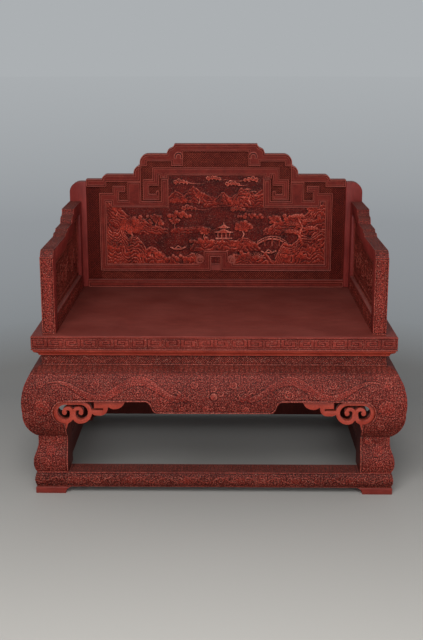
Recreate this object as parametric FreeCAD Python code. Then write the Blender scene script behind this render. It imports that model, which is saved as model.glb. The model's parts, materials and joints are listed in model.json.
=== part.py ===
import FreeCAD, Part

import math
import os

os.makedirs("parts", exist_ok=True)

Vec = FreeCAD.Vector

# Sizes in millimetres. The plan is the rectangle that the feet stand on, and
# "out" means out from that rectangle, so a negative value is set in from it.
plan_length = 1144.0
plan_depth = 790.0

# Plinth
foot_height = 21.0
foot_width = 96.0
foot_flare = 16.0
foot_step = 3.0
foot_step_crown = 0.8
foot_hollow = 4.0
foot_toe = 4.0
plinth_height = 50.0
plinth_width = 76.0
plinth_draw = 6.0

# Legs
leg_width = 92.5
ankle_inset = 13.5
ankle_height = 123.0
leg_foot_inset = 7.0
leg_neck_inset = 2.0
leg_foot_height = 59.0
leg_foot_crown = 6.3
leg_hollow_height = 38.0
leg_hollow_depth = 1.5
shoulder_step = 2.5
bulge = 27.0
bulge_rise = 87.0
bulge_lower_crown = 11.0
bulge_upper_crown = 11.3
leg_tenon = 30.0
leg_tenon_length = 28.0
leg_tenon_wall = 3.0
post_foot_rise = 3.0

# Aprons
apron_drop = 83.0
apron_rise = 121.0
apron_thickness = 34.0
apron_top_out = 2.0
apron_back_flat = 20.0
apron_back_crown = 8.0
front_lappet_gap = 66.0
side_lappet_gap = 14.0
lappet_slant = 33.0
lappet_curve = 3.0

# Brackets
bracket_thickness = 22.0
bracket_setback = 7.0
ring_radius = 37.5
ring_stretch = 46.0
ring_band = 12.5
curl_band = 10.5
hook_radius = 24.0
hook_lap = 8.0
hook_run = 10.0
hook_slot = 7.0
hook_slot_drop = 24.0
hook_slot_run = 26.0
leaf_length = 54.0
leaf_depth = 26.0
leaf_root = 15.0
leaf_lap = 3.0
leaf_near_crown = 5.0
leaf_far_crown = 6.0
tail_length = 18.0
tail_tip = 2.0
tail_crown = 2.0

# Moulding and waist
moulding_height = 20.0
moulding_lip = 3.0
moulding_crown = 2.5
waist_height = 34.0
waist_inset = 31.0
waist_thickness = 18.0

# Seat
seat_inset = 3.0
seat_edge_round = 2.5
seat_edge_crown = 0.7
seat_band = 46.0
seat_ogee_height = 21.0
seat_ogee_step = 3.0
seat_ogee_draw = 17.0
seat_ogee_curve = 2.2
seat_rail_width = 92.0
seat_panel_thickness = 22.0
seat_tongue = 12.0
seat_tongue_thickness = 8.0
seat_tongue_drop = 10.0
frame_tenon = 30.0
frame_tenon_thickness = 12.0
frame_tenon_wall = 18.0
frame_tenon_over = 8.0
batten_spacing = 240.0
batten_width = 46.0
batten_depth = 36.0
dovetail_height = 7.0
dovetail_flare = 4.0
batten_tenon = 20.0
batten_tenon_thickness = 16.0

# Arms
arm_thickness = 42.0
arm_side_inset = 35.0
arm_front_inset = 30.0
arm_front_height = 261.0
arm_middle_step = 17.0
arm_rear_step = 44.0
arm_middle_start = 328.0
arm_middle_run = 155.0
arm_middle_slope = 58.0
arm_rear_slope = 48.0
arm_curve = 4.0
stile_width = 48.0
arm_bottom_rail = 55.0
arm_top_rail = 40.0
arm_nose_height = 17.0
arm_nose_depth = 26.0
arm_nose_step = 9.0
arm_nose_crown = 3.0
arm_panel_thickness = 16.0
arm_panel_tongue = 9.0
arm_tongue = 12.0
arm_tongue_thickness = 14.0
arm_tongue_height = 180.0
arm_tongue_start = 40.0

# Back
back_thickness = 45.0
back_rear_inset = 31.0
post_width = 61.0
post_height = 394.0
post_round = 39.0
back_bottom_rail = 29.0
rail_bead = 8.0
rail_bead_out = 2.5
board_face_inset = 12.0
board_tongue = 10.0
board_tongue_thickness = 14.0
wing_over_post = 8.0
wing_low_length = 57.0
wing_low_round = 17.0
wing_low_crown = 3.5
wing_step = 18.0
wing_length = 118.0
side_bump_height = 31.0
side_bump_width = 23.0
side_bump_crown = 6.5
shoulder_height = 75.0
shoulder_length = 100.0
shoulder_round = 30.0
shoulder_crown = 8.5
shoulder_lip = 5.0
crest_rise = 36.0
crest_slope = 27.0
crest_curve = 3.0

# Raised fret border on the back
fret_thickness = 9.0
edge_band = 26.5
border_band = 25.0
fret_band = 23.0
side_field = 47.0
bottom_field = 33.0
wing_fret_room = 82.0
scene_step = 20.0
scene_notch = 19.0
neck_inset = 126.0
scene_neck_height = 118.0
bar_end_inset = 69.0
bar_height = 28.0
bar_drop = 15.0
lip_band = 26.0
fret_gap = 7.0
fret_seam = 0.4
wing_pocket = 32.0
wing_channel = 10.0
wing_channel_top = 14.5
scene_thickness = 5.0
tab_half = 44.0
tab_height = 49.0
tab_slot = 38.0
tab_scroll = 16.0
crest_scroll = 17.0
crest_scroll_inset = 96.0

# Loose tenons and fits
tenon_thickness = 14.0
tenon_depth = 30.0
tenon_bury = 20.0
tenon_cover = 4.0
arm_tenon_width = 60.0
back_tenon_width = 70.0
arm_tenon_spacing = 352.0
back_tenon_spacing = 330.0
slide_clearance = 0.4
end_clearance = 1.0
curve_clearance = 0.4
tongue_travel = 60.0
overcut = 1.0

# Levels and half sizes that follow from the sizes above
half_length = plan_length / 2
half_depth = plan_depth / 2
plinth_top = foot_height + plinth_height
shoulder_level = plinth_top + ankle_height
bulge_level = shoulder_level + bulge_rise
apron_top = bulge_level + apron_rise
apron_edge = apron_top - apron_drop
moulding_top = apron_top + moulding_height
waist_top = moulding_top + waist_height
seat_top = waist_top + seat_ogee_height + seat_band
leg_inner = -ankle_inset - leg_width
post_outer = -waist_inset - waist_thickness
seat_inner = -seat_inset - seat_rail_width
arm_outer_x = half_length - arm_side_inset
arm_inner_x = arm_outer_x - arm_thickness
arm_front_y = -half_depth + arm_front_inset
back_rear_y = half_depth - back_rear_inset
back_front_y = back_rear_y - back_thickness
arm_rear_y = back_front_y - curve_clearance
ring_level = apron_edge - ring_radius
bracket_length = ring_stretch + ring_radius + 2 * hook_radius + hook_run - hook_lap + leaf_length
board_half = arm_outer_x - post_width
wing_low_height = post_height + wing_over_post
scene_half = board_half - side_field - border_band
scene_bottom = back_bottom_rail + bottom_field + border_band
scene_wing_top = wing_low_height - wing_fret_room
scene_inner_top = scene_wing_top - scene_step
scene_top = scene_inner_top + scene_neck_height
wing_inner = board_half - wing_low_length - wing_length
scene_neck_half = wing_inner - neck_inset
bar_half = wing_inner - bar_end_inset
crest_scroll_place = bar_half - crest_scroll_inset
reach = 3 * leg_width
far = 2 * plan_length + 2 * seat_top

sides = {"front": 0, "right": 1, "back": 2, "left": 3}
corners = {"front_right": 0, "back_right": 1, "back_left": 2, "front_left": 3}
ways = {"xz": lambda a, b: Vec(a, 0, b), "yz": lambda a, b: Vec(0, a, b), "xy": lambda a, b: Vec(a, b, 0)}


def bow(start, end, rise):
    # Middle of an arc that stands off its chord by rise, to the right of the way along it.
    run = end[0] - start[0]
    climb = end[1] - start[1]
    length = math.hypot(run, climb)
    middle_a = (start[0] + end[0]) / 2 + rise * climb / length
    middle_b = (start[1] + end[1]) / 2 - rise * run / length
    return (middle_a, middle_b)


def curve(start, end, rise):
    return (bow(start, end, rise), end)


def wave(start, end, rise):
    # Two arcs, the first bowed one way and the second the other.
    middle = ((start[0] + end[0]) / 2, (start[1] + end[1]) / 2)
    return [curve(start, middle, rise), curve(middle, end, -rise)]


def outline(way, steps):
    # Closed face from corner points, where a pair of points is the middle and end of an arc.
    place = ways[way]
    edges = []
    here = steps[0]
    for step in steps[1:] + [steps[0]]:
        if isinstance(step[0], tuple):
            end = step[1]
            edges.append(Part.Arc(place(*here), place(*step[0]), place(*end)).toShape())
        else:
            end = step
            if math.dist(here, end) > 1e-6:
                edges.append(Part.LineSegment(place(*here), place(*end)).toShape())
        here = end
    return Part.Face(Part.Wire(edges))


def slab(way, steps, start, end):
    # An outline given thickness along the axis that its plane leaves out.
    axis = {"xz": Vec(0, 1, 0), "yz": Vec(1, 0, 0), "xy": Vec(0, 0, 1)}[way]
    face = outline(way, steps)
    face.translate(axis * start)
    return face.extrude(axis * (end - start))


def box(x_range, y_range, z_range):
    low = Vec(min(x_range), min(y_range), min(z_range))
    size = (abs(x_range[1] - x_range[0]), abs(y_range[1] - y_range[0]), abs(z_range[1] - z_range[0]))
    return Part.makeBox(size[0], size[1], size[2], low)


def joined(shapes):
    return shapes[0].multiFuse(shapes[1:]).removeSplitter()


def turned(shape, quarters):
    return shape.rotated(Vec(0, 0, 0), Vec(0, 0, 1), 90 * quarters)


def mirrored(shape):
    return shape.mirror(Vec(0, 0, 0), Vec(1, 0, 0))


def save(name, shape):
    shape.exportStep("parts/" + name + ".step")


def side_sizes(side):
    if sides[side] % 2:
        return half_depth, half_length
    return half_length, half_depth


def mitred(section, across, deep):
    # A front bar with the given (out, level) section, its ends cut on the plan diagonals.
    bar = slab("yz", [flip(step, deep) for step in section], -across - reach, across + reach)
    plan = [
        (-across - reach, -deep - reach),
        (across + reach, -deep - reach),
        (across - reach, -deep + reach),
        (-across + reach, -deep + reach),
    ]
    return bar.common(slab("xy", plan, -overcut, far))


def flip(step, deep):
    # From (out, level) to the front side's (y, level).
    if isinstance(step[0], tuple):
        return (flip(step[0], deep), flip(step[1], deep))
    return (-deep - step[0], step[1])


def corner_block(steps):
    # The same (out, level) profile seen from the front and from the side, about the plan corner.
    front = slab("xz", steps, -reach, reach)
    side = slab("yz", [flip(step, 0) for step in steps], -reach, reach)
    return front.common(side)


def corner_square(inner, outer, bottom, top):
    return box((inner, outer), (-outer, -inner), (bottom, top))


def at_corner(shape, corner):
    quarters = corners[corner]
    placed = turned(shape, quarters)
    sign_x = 1 if "right" in corner else -1
    sign_y = 1 if "back" in corner else -1
    placed.translate(Vec(sign_x * half_length, sign_y * half_depth, 0))
    return placed


def bulge_lower(start):
    return curve(start, (bulge, bulge_level), bulge_lower_crown)


def bulge_upper():
    return curve((bulge, bulge_level), (apron_top_out, apron_top), bulge_upper_crown)


def apron_wedge():
    # The room an apron end takes out of a leg, above the slanting mitre line of the leg shoulder.
    run = apron_top_out - leg_inner
    top = (apron_top_out + run, apron_top + apron_drop)
    steps = [(leg_inner - reach, apron_edge), (leg_inner, apron_edge), top, (leg_inner - reach, top[1])]
    return slab("xz", steps, -reach, -post_outer)


def leg():
    foot = (-leg_foot_inset, plinth_top)
    neck = (-leg_neck_inset, plinth_top + leg_foot_height)
    ankle = (-ankle_inset, neck[1] + leg_hollow_height)
    crease = (-ankle_inset + shoulder_step, shoulder_level)
    steps = [
        foot,
        curve(foot, neck, leg_foot_crown),
        curve(neck, ankle, -leg_hollow_depth),
        (-ankle_inset, shoulder_level),
        crease,
        bulge_lower(crease),
        bulge_upper(),
        (leg_inner, apron_top),
        (leg_inner, plinth_top),
    ]
    body = corner_block(steps)
    wedge = apron_wedge()
    side_wedge = wedge.mirror(Vec(0, 0, 0), Vec(1, 1, 0).normalize())
    body = body.cut(wedge).cut(side_wedge)
    scoop_start = Vec(leg_inner, -reach, ring_level)
    scoop = Part.makeCylinder(ring_radius + curve_clearance, 2 * reach, scoop_start, Vec(0, 1, 0))
    side_scoop = scoop.mirror(Vec(0, 0, 0), Vec(1, 1, 0).normalize())
    body = body.cut(scoop).cut(side_scoop)
    post = corner_square(leg_inner, post_outer, apron_edge + post_foot_rise, waist_top)
    return joined([body, post, leg_top_tenon(), leg_bottom_tenon()])


def leg_top_tenon():
    middle = (max(leg_inner, seat_inner) + post_outer) / 2
    half = min(leg_tenon, post_outer - max(leg_inner, seat_inner) - 2 * leg_tenon_wall) / 2
    return corner_square(middle - half, middle + half, moulding_top, waist_top + leg_tenon_length)


def leg_bottom_tenon():
    middle = -plinth_width / 2 - plinth_draw / 2
    half = leg_tenon / 2
    return corner_square(middle - half, middle + half, plinth_top - leg_tenon_length, plinth_top + leg_tenon)


def foot():
    steps = [
        (0, 0),
        (0, foot_height - foot_step),
        curve((0, foot_height - foot_step), (-foot_step, foot_height), foot_step_crown),
        (-foot_width - foot_flare, foot_height),
        curve((-foot_width - foot_flare, foot_height), (-foot_width, foot_toe), -foot_hollow),
        (-foot_width, 0),
    ]
    return corner_block(steps)


def plinth_rail(across, deep):
    low = (-plinth_draw, foot_height)
    high = (-plinth_draw, plinth_top)
    section = [low, curve(low, high, plinth_draw), (-plinth_width, plinth_top), (-plinth_width, foot_height)]
    return mitred(section, across, deep)


def apron(across, deep, lappet_gap):
    inner = bulge - apron_thickness
    bend = (inner, apron_edge)
    high = (post_outer, apron_top - apron_back_flat)
    section = [
        (bulge, bulge_level),
        bulge_upper(),
        (post_outer, apron_top),
        high,
        curve(high, bend, -apron_back_crown),
        (inner, bulge_level),
    ]
    bar = mitred(section, across, deep)
    inner_end = across + leg_inner
    outer_end = across + apron_top_out
    half = inner_end - bracket_length - lappet_gap
    foot_half = half - lappet_slant
    steps = [(-inner_end, apron_edge)]
    steps += [(-half, apron_edge)]
    steps += wave((-half, apron_edge), (-foot_half, bulge_level), -lappet_curve)
    steps += [(foot_half, bulge_level)]
    steps += wave((foot_half, bulge_level), (half, apron_edge), lappet_curve)
    steps += [(inner_end, apron_edge), (outer_end, apron_top), (-outer_end, apron_top)]
    return bar.common(slab("xz", steps, -deep - reach, -deep + reach))


def moulding(across, deep):
    low = (apron_top_out, apron_top)
    lip = (apron_top_out, apron_top + moulding_lip)
    high = (-waist_inset, moulding_top)
    section = [low, lip, curve(lip, high, moulding_crown)]
    section += [(post_outer, moulding_top), (post_outer, apron_top)]
    return mitred(section, across, deep)


def waist_board(across, deep):
    section = [
        (-waist_inset, moulding_top),
        (-waist_inset, waist_top),
        (post_outer, waist_top),
        (post_outer, moulding_top),
    ]
    return mitred(section, across, deep)


def ring_band_piece(centre, radius, width, start, end):
    # A flat curved band between two angles, in the bracket's own plane.
    place = ways["xz"]
    inner = radius - width / 2
    outer = radius + width / 2
    middle = (start + end) / 2

    def spot(size, angle):
        turn = math.radians(angle)
        return (centre[0] + size * math.cos(turn), centre[1] + size * math.sin(turn))

    near = Part.Arc(place(*spot(outer, start)), place(*spot(outer, middle)), place(*spot(outer, end)))
    back = Part.Arc(place(*spot(inner, end)), place(*spot(inner, middle)), place(*spot(inner, start)))
    edges = [
        near.toShape(),
        Part.LineSegment(place(*spot(outer, end)), place(*spot(inner, end))).toShape(),
        back.toShape(),
        Part.LineSegment(place(*spot(inner, start)), place(*spot(outer, start))).toShape(),
    ]
    return Part.Face(Part.Wire(edges)).extrude(Vec(0, bracket_thickness, 0))


def disc(centre, radius):
    return Part.makeCylinder(radius, bracket_thickness, Vec(centre[0], 0, centre[1]), Vec(0, 1, 0))


def plate(x_range, z_range):
    return box(x_range, (0, bracket_thickness), z_range)


def bracket():
    # Pierced cloud head with two inward curls, a hook and an end leaf. The plane's origin is the
    # middle of the rounded end that sits in the leg, with the opening's centre towards +X.
    line = ring_radius - ring_band / 2
    stem = ring_stretch / 2 - curl_band * 0.35
    lobe = stem
    rise = -line + lobe
    upper = 0.45 * ring_radius - curl_band / 2
    turn = stem - upper * 1.05
    pieces = [ring_band_piece((0, 0), line, ring_band, 90, 270)]
    pieces.append(ring_band_piece((0, rise), lobe, ring_band, 270, 360))
    pieces.append(plate((stem - curl_band / 2, stem + ring_band / 2), (rise, 0)))
    pieces.append(ring_band_piece((turn, 0), stem - turn, curl_band, 0, 180))
    tip = turn - (stem - turn)
    pieces.append(disc((tip + curl_band * 0.2, -curl_band * 0.15), curl_band * 0.7))
    half = joined(pieces)
    other = half.mirror(Vec(ring_stretch / 2, 0, 0), Vec(1, 0, 0))
    top = plate((0, ring_stretch), (ring_radius - ring_band, ring_radius))
    tail_end = (curve_clearance + tail_tip, -ring_radius - tail_length)
    tail = [
        (curve_clearance, -ring_radius + ring_band / 2),
        (ring_band, -ring_radius + ring_band / 2),
        curve((ring_band, -ring_radius + ring_band / 2), tail_end, tail_crown),
        (curve_clearance, -ring_radius - tail_length),
    ]
    tail_piece = slab("xz", tail, 0, bracket_thickness)
    ring_end = ring_stretch + ring_radius
    hook_x = ring_end + hook_radius - hook_lap
    hook_z = ring_radius - hook_radius
    hook_far = hook_x + hook_run
    hook_end = hook_far + hook_radius
    knob_start = ring_end + hook_slot
    slot_top = ring_radius - hook_slot_drop
    cap = plate((hook_x - hook_radius, hook_end), (hook_z, ring_radius))
    belly = plate((hook_x, hook_far), (hook_z - hook_radius, hook_z))
    slot_low = slot_top - hook_slot
    slot_stop = knob_start + hook_slot_run
    gap = plate((hook_x - hook_radius - overcut, knob_start), (slot_low, ring_radius + overcut))
    slot = plate((knob_start - overcut, slot_stop), (slot_low, slot_top))
    slot_end = disc((slot_stop, slot_low + hook_slot / 2), hook_slot / 2)
    hook = joined([disc((hook_x, hook_z), hook_radius), disc((hook_far, hook_z), hook_radius), belly, cap])
    hook = hook.cut(gap).cut(slot).cut(slot_end)
    leaf_low = (hook_end + leaf_length * 0.52, ring_radius - leaf_depth)
    leaf_start = (hook_end - leaf_lap, ring_radius - leaf_root)
    leaf_end = (hook_end + leaf_length, ring_radius)
    leaf = slab(
        "xz",
        [
            leaf_start,
            curve(leaf_start, leaf_low, leaf_near_crown),
            curve(leaf_low, leaf_end, leaf_far_crown),
            (hook_end - leaf_lap, ring_radius),
        ],
        0,
        bracket_thickness,
    )
    return joined([half, other, top, tail_piece, hook, leaf])


def bracket_at(shape, across, deep, hand):
    # On the front: -1 stands at the left leg, 1 is its mirror at the right leg.
    placed = shape.copy()
    front = -deep - bulge + bracket_setback
    placed.translate(Vec(-across - leg_inner, front, ring_level))
    if hand > 0:
        return mirrored(placed)
    return placed


def seat_section():
    outer = -seat_inset
    band_low = waist_top + seat_ogee_height
    ogee_start = (outer - seat_ogee_step, band_low)
    ogee_end = (outer - seat_ogee_step - seat_ogee_draw, waist_top)
    edge_low = (outer, seat_top - seat_edge_round)
    edge_high = (outer - seat_edge_round, seat_top)
    steps = [edge_high, curve(edge_high, edge_low, -seat_edge_crown), (outer, band_low), ogee_start]
    steps += wave(ogee_start, ogee_end, -seat_ogee_curve)
    steps += [(seat_inner, waist_top), (seat_inner, seat_top)]
    return steps


def seat_tenon(sign_x, sign_y):
    # Hidden tenon of a long rail into a short one, across the corner mitre.
    start = half_length + seat_inner
    end = half_length - seat_inset - frame_tenon_wall
    middle = half_depth - seat_inset - seat_rail_width * 0.5
    low = waist_top + leg_tenon_length + frame_tenon_over
    half = frame_tenon / 2
    x_range = (sign_x * (start + frame_tenon / 4), sign_x * end)
    y_range = (sign_y * (middle - half), sign_y * (middle + half))
    return box(x_range, y_range, (low, low + frame_tenon_thickness))


def seat_panel_level():
    return seat_top - seat_panel_thickness


def seat_panel():
    half_x = half_length + seat_inner
    half_y = half_depth + seat_inner
    field = box((-half_x, half_x), (-half_y, half_y), (seat_panel_level(), seat_top))
    tongue_top = seat_top - seat_tongue_drop
    tongue = box(
        (-half_x - seat_tongue, half_x + seat_tongue),
        (-half_y - seat_tongue, half_y + seat_tongue),
        (tongue_top - seat_tongue_thickness, tongue_top),
    )
    return field.fuse(tongue).removeSplitter()


def batten(place_x):
    half_y = half_depth + seat_inner
    top = seat_panel_level()
    wide = batten_width / 2
    neck = wide * 0.6
    steps = [
        (-wide, top - batten_depth),
        (wide, top - batten_depth),
        (wide, top),
        (neck, top),
        (neck + dovetail_flare, top + dovetail_height),
        (-neck - dovetail_flare, top + dovetail_height),
        (-neck, top),
        (-wide, top),
    ]
    body = slab("xz", steps, -half_y, half_y)
    low = top - batten_depth / 2 - batten_tenon_thickness / 2
    tenon = box(
        (-wide * 0.6, wide * 0.6),
        (-half_y - batten_tenon, half_y + batten_tenon),
        (low, low + batten_tenon_thickness),
    )
    piece = body.fuse(tenon).removeSplitter()
    piece.translate(Vec(place_x, 0, 0))
    return piece


def loose_tenon(centre, along_x, width, bury, grow, deeper):
    half_w = width / 2 + grow
    half_t = tenon_thickness / 2 + grow
    x_half = half_w if along_x else half_t
    y_half = half_t if along_x else half_w
    return box(
        (centre[0] - x_half, centre[0] + x_half),
        (centre[1] - y_half, centre[1] + y_half),
        (seat_top - tenon_depth - deeper, seat_top + bury),
    )


def arm_levels():
    front = seat_top + arm_front_height
    middle = front + arm_middle_step
    return front, middle, middle + arm_rear_step


def arm_marks():
    # Where the stepped top changes level, along y.
    rise_start = arm_front_y + arm_middle_start - arm_middle_slope
    rise_end = rise_start + arm_middle_slope
    rear_start = rise_end + arm_middle_run - arm_rear_slope
    return rise_start, rise_end, rear_start, rear_start + arm_rear_slope


def arm_underside(lift):
    # Lower edge of the top rail from the rear to the front, raised by lift.
    front, middle, rear = arm_levels()
    rise_start, rise_end, rear_start, rear_end = arm_marks()
    drop = arm_top_rail - lift
    return [
        (rear_end + drop * 0.3, rear - drop),
        (rear_start + drop * 0.3, middle - drop),
        (rise_end, middle - drop),
        (rise_start, front - drop),
    ]


def arm_pieces(sign):
    x_range = (sign * arm_inner_x, sign * arm_outer_x)
    centre_x = (x_range[0] + x_range[1]) / 2
    low_x = min(x_range)
    high_x = max(x_range)
    front, middle, rear = arm_levels()
    rise_start, rise_end, rear_start, rear_end = arm_marks()
    inner_front = arm_front_y + stile_width
    inner_rear = arm_rear_y - stile_width
    nose = (arm_front_y + arm_nose_step, front - arm_nose_height)
    crown = (arm_front_y + arm_nose_depth, front)
    front_steps = [
        (arm_front_y, seat_top),
        (inner_front, seat_top),
        (inner_front, front),
        crown,
        curve(crown, nose, arm_nose_crown),
        (arm_front_y, nose[1]),
    ]
    front_stile = slab("yz", front_steps, low_x, high_x)
    rear_stile = box(x_range, (inner_rear, arm_rear_y), (seat_top, rear))
    tongue = box(
        (centre_x - arm_tongue_thickness / 2, centre_x + arm_tongue_thickness / 2),
        (arm_rear_y - arm_tongue, arm_rear_y + arm_tongue),
        (seat_top + arm_tongue_start, seat_top + arm_tongue_start + arm_tongue_height),
    )
    rear_stile = rear_stile.fuse(tongue).removeSplitter()
    top_steps = [(inner_front, front)]
    top_steps += [(inner_front, front - arm_top_rail)]
    top_steps += arm_underside(0)[::-1]
    top_steps += [(inner_rear, rear - arm_top_rail), (inner_rear, rear), (rear_end, rear)]
    top_steps += wave((rear_end, rear), (rear_start, middle), -arm_curve * 2)
    top_steps += [(rise_end, middle)]
    top_steps += wave((rise_end, middle), (rise_start, front), -arm_curve)
    top_rail = slab("yz", top_steps, low_x, high_x)
    bottom_rail = box(x_range, (inner_front, inner_rear), (seat_top, seat_top + arm_bottom_rail))
    half_panel = arm_panel_thickness / 2
    panel_steps = [(inner_front - arm_panel_tongue, front - arm_top_rail + arm_panel_tongue)]
    panel_steps += [(inner_front - arm_panel_tongue, seat_top + arm_bottom_rail - arm_panel_tongue)]
    panel_steps += [(inner_rear + arm_panel_tongue, seat_top + arm_bottom_rail - arm_panel_tongue)]
    panel_steps += [(inner_rear + arm_panel_tongue, rear - arm_top_rail + arm_panel_tongue)]
    panel_steps += arm_underside(arm_panel_tongue)
    panel = slab("yz", panel_steps, centre_x - half_panel, centre_x + half_panel)
    tenons = arm_tenons(centre_x, 0, 0)
    return {
        "front_stile": front_stile.cut(panel),
        "rear_stile": rear_stile.cut(panel),
        "top_rail": top_rail.cut(panel),
        "bottom_rail": bottom_rail.cut(panel).cut(tenons),
        "panel": panel,
        "tenons": tenons,
    }


def arm_tenons(centre_x, grow, deeper):
    middle = (arm_front_y + arm_rear_y) / 2
    bury = min(tenon_bury, arm_bottom_rail - arm_panel_tongue - tenon_cover)
    spots = [middle - arm_tenon_spacing / 2, middle + arm_tenon_spacing / 2]
    return Part.makeCompound(
        [loose_tenon((centre_x, spot), False, arm_tenon_width, bury, grow, deeper) for spot in spots]
    )


def back_tenons(grow, deeper):
    middle = (back_front_y + back_rear_y) / 2
    bury = min(tenon_bury, back_bottom_rail - board_tongue - tenon_cover)
    spots = [-back_tenon_spacing, 0, back_tenon_spacing]
    return Part.makeCompound(
        [loose_tenon((spot, middle), True, back_tenon_width, bury, grow, deeper) for spot in spots]
    )


def back_post(sign):
    inner = board_half
    top = seat_top + post_height
    round_start = (arm_outer_x, top - post_round)
    round_end = (arm_outer_x - post_round, top)
    away = math.sqrt(0.5) * post_round
    middle = (arm_outer_x - post_round + away, top - post_round + away)
    steps = [(inner, seat_top), (arm_outer_x, seat_top), round_start, (middle, round_end), (inner, top)]
    post = slab("xz", steps, back_front_y, back_rear_y)
    if sign < 0:
        post = mirrored(post)
    centre_x = sign * (arm_inner_x + arm_outer_x) / 2
    half = arm_tongue_thickness / 2 + slide_clearance
    groove = box(
        (centre_x - half, centre_x + half),
        (back_front_y - overcut, arm_rear_y + arm_tongue + end_clearance),
        (seat_top - overcut, seat_top + arm_tongue_start + arm_tongue_height + tongue_travel),
    )
    return post.cut(groove)


def board_half_steps(bottom):
    # Right half of the stepped outline, from the foot of the inner edge round to the crest.
    edge = board_half
    wing_low = seat_top + wing_low_height
    wing_top = wing_low + wing_step
    wing_out = edge - wing_low_length
    wing_in = wing_inner
    bump_top = wing_top + side_bump_height
    shoulder_out = wing_in - side_bump_width
    shoulder_top = wing_top + shoulder_height
    shoulder_in = shoulder_out - shoulder_length
    crest_top = shoulder_top + crest_rise
    crest_out = shoulder_in - crest_slope
    steps = [(0, bottom), (edge, bottom), (edge, wing_low), (wing_out, wing_low)]
    steps += [curve((wing_out, wing_low), (wing_out - wing_low_round, wing_top), wing_low_crown)]
    steps += [(wing_in, wing_top)]
    bump_foot = (wing_in, bump_top - side_bump_width)
    steps += [bump_foot]
    steps += [curve(bump_foot, (shoulder_out, bump_top), side_bump_crown)]
    round_foot = (shoulder_out, shoulder_top - shoulder_round)
    steps += [round_foot]
    steps += [curve(round_foot, (shoulder_out - shoulder_round, shoulder_top), shoulder_crown)]
    lip = (shoulder_in, shoulder_top + shoulder_lip)
    steps += [(shoulder_in, shoulder_top), lip]
    steps += wave(lip, (crest_out, crest_top), crest_curve)
    steps += [(0, crest_top)]
    return steps


def whole(half):
    return half.fuse(mirrored(half)).removeSplitter()


def bottom_rail():
    # Plain rail with a half-round bead along its upper front edge.
    top = seat_top + back_bottom_rail
    bead_low = (back_front_y, top - rail_bead)
    bead_high = (back_front_y, top)
    steps = [
        (back_front_y, seat_top),
        bead_low,
        curve(bead_low, bead_high, -rail_bead_out),
        (back_rear_y, top),
        (back_rear_y, seat_top),
    ]
    return slab("yz", steps, -board_half, board_half)


def back_board():
    face = back_front_y + board_face_inset
    bottom = seat_top + back_bottom_rail
    board = whole(slab("xz", board_half_steps(bottom), face, back_rear_y))
    middle = (face + back_rear_y) / 2
    half = board_tongue_thickness / 2
    edge = board_half + board_tongue
    tongue = box(
        (-edge, edge),
        (middle - half, middle + half),
        (bottom - board_tongue, seat_top + post_height - post_round - board_tongue),
    )
    return board.fuse(tongue).removeSplitter()


def edge_border(near, far_side):
    # Right half of a band that follows the stepped top edge of the board, square-cornered
    # inside, with a scroll head cut into the end of the crest.
    half = slab("xz", board_half_steps(seat_top + scene_bottom), near, far_side)
    low_run = seat_top + wing_low_height - edge_band
    top_run = low_run + wing_step
    bump_run = top_run + side_bump_height
    shoulder_run = top_run + shoulder_height
    crest_run = shoulder_run + crest_rise
    riser = board_half - wing_low_length - wing_low_round
    bump_x = wing_inner - edge_band
    shoulder_x = bump_x - side_bump_width
    head_x = crest_scroll_place - crest_scroll
    head_low = shoulder_run - crest_scroll
    inside = [
        (-overcut, seat_top),
        (far, seat_top),
        (far, low_run),
        (riser, low_run),
        (riser, top_run),
        (bump_x, top_run),
        (bump_x, bump_run + edge_band),
        (shoulder_x, bump_run + edge_band),
        (shoulder_x, shoulder_run),
        (crest_scroll_place + edge_band, shoulder_run),
        (crest_scroll_place + edge_band, head_low),
        (head_x, head_low),
        (head_x, crest_run),
        (-overcut, crest_run),
    ]
    cut_out = slab("xz", inside, near - overcut, far_side + overcut)
    axis = Vec(0, 1, 0)
    depth = far_side - near
    base = Vec(crest_scroll_place, near, shoulder_run + crest_scroll)
    boss = Part.makeCylinder(crest_scroll * 0.55, depth, base, axis)
    groove = Part.makeCylinder(crest_scroll * 0.85, depth, base, axis).cut(boss)
    bridge = box(
        (crest_scroll_place - crest_scroll, crest_scroll_place + crest_scroll),
        (near, far_side),
        (shoulder_run, shoulder_run + crest_scroll * 0.7),
    )
    return half.cut(cut_out).cut(groove.cut(bridge))


def scene_steps(level):
    return [
        (0, level + scene_bottom),
        (scene_half, level + scene_bottom),
        (scene_half, level + scene_wing_top),
        (scene_half - scene_notch, level + scene_wing_top),
        (scene_half - scene_notch, level + scene_inner_top),
        (scene_neck_half, level + scene_inner_top),
        (scene_neck_half, level + scene_top),
        (0, level + scene_top),
    ]


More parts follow.
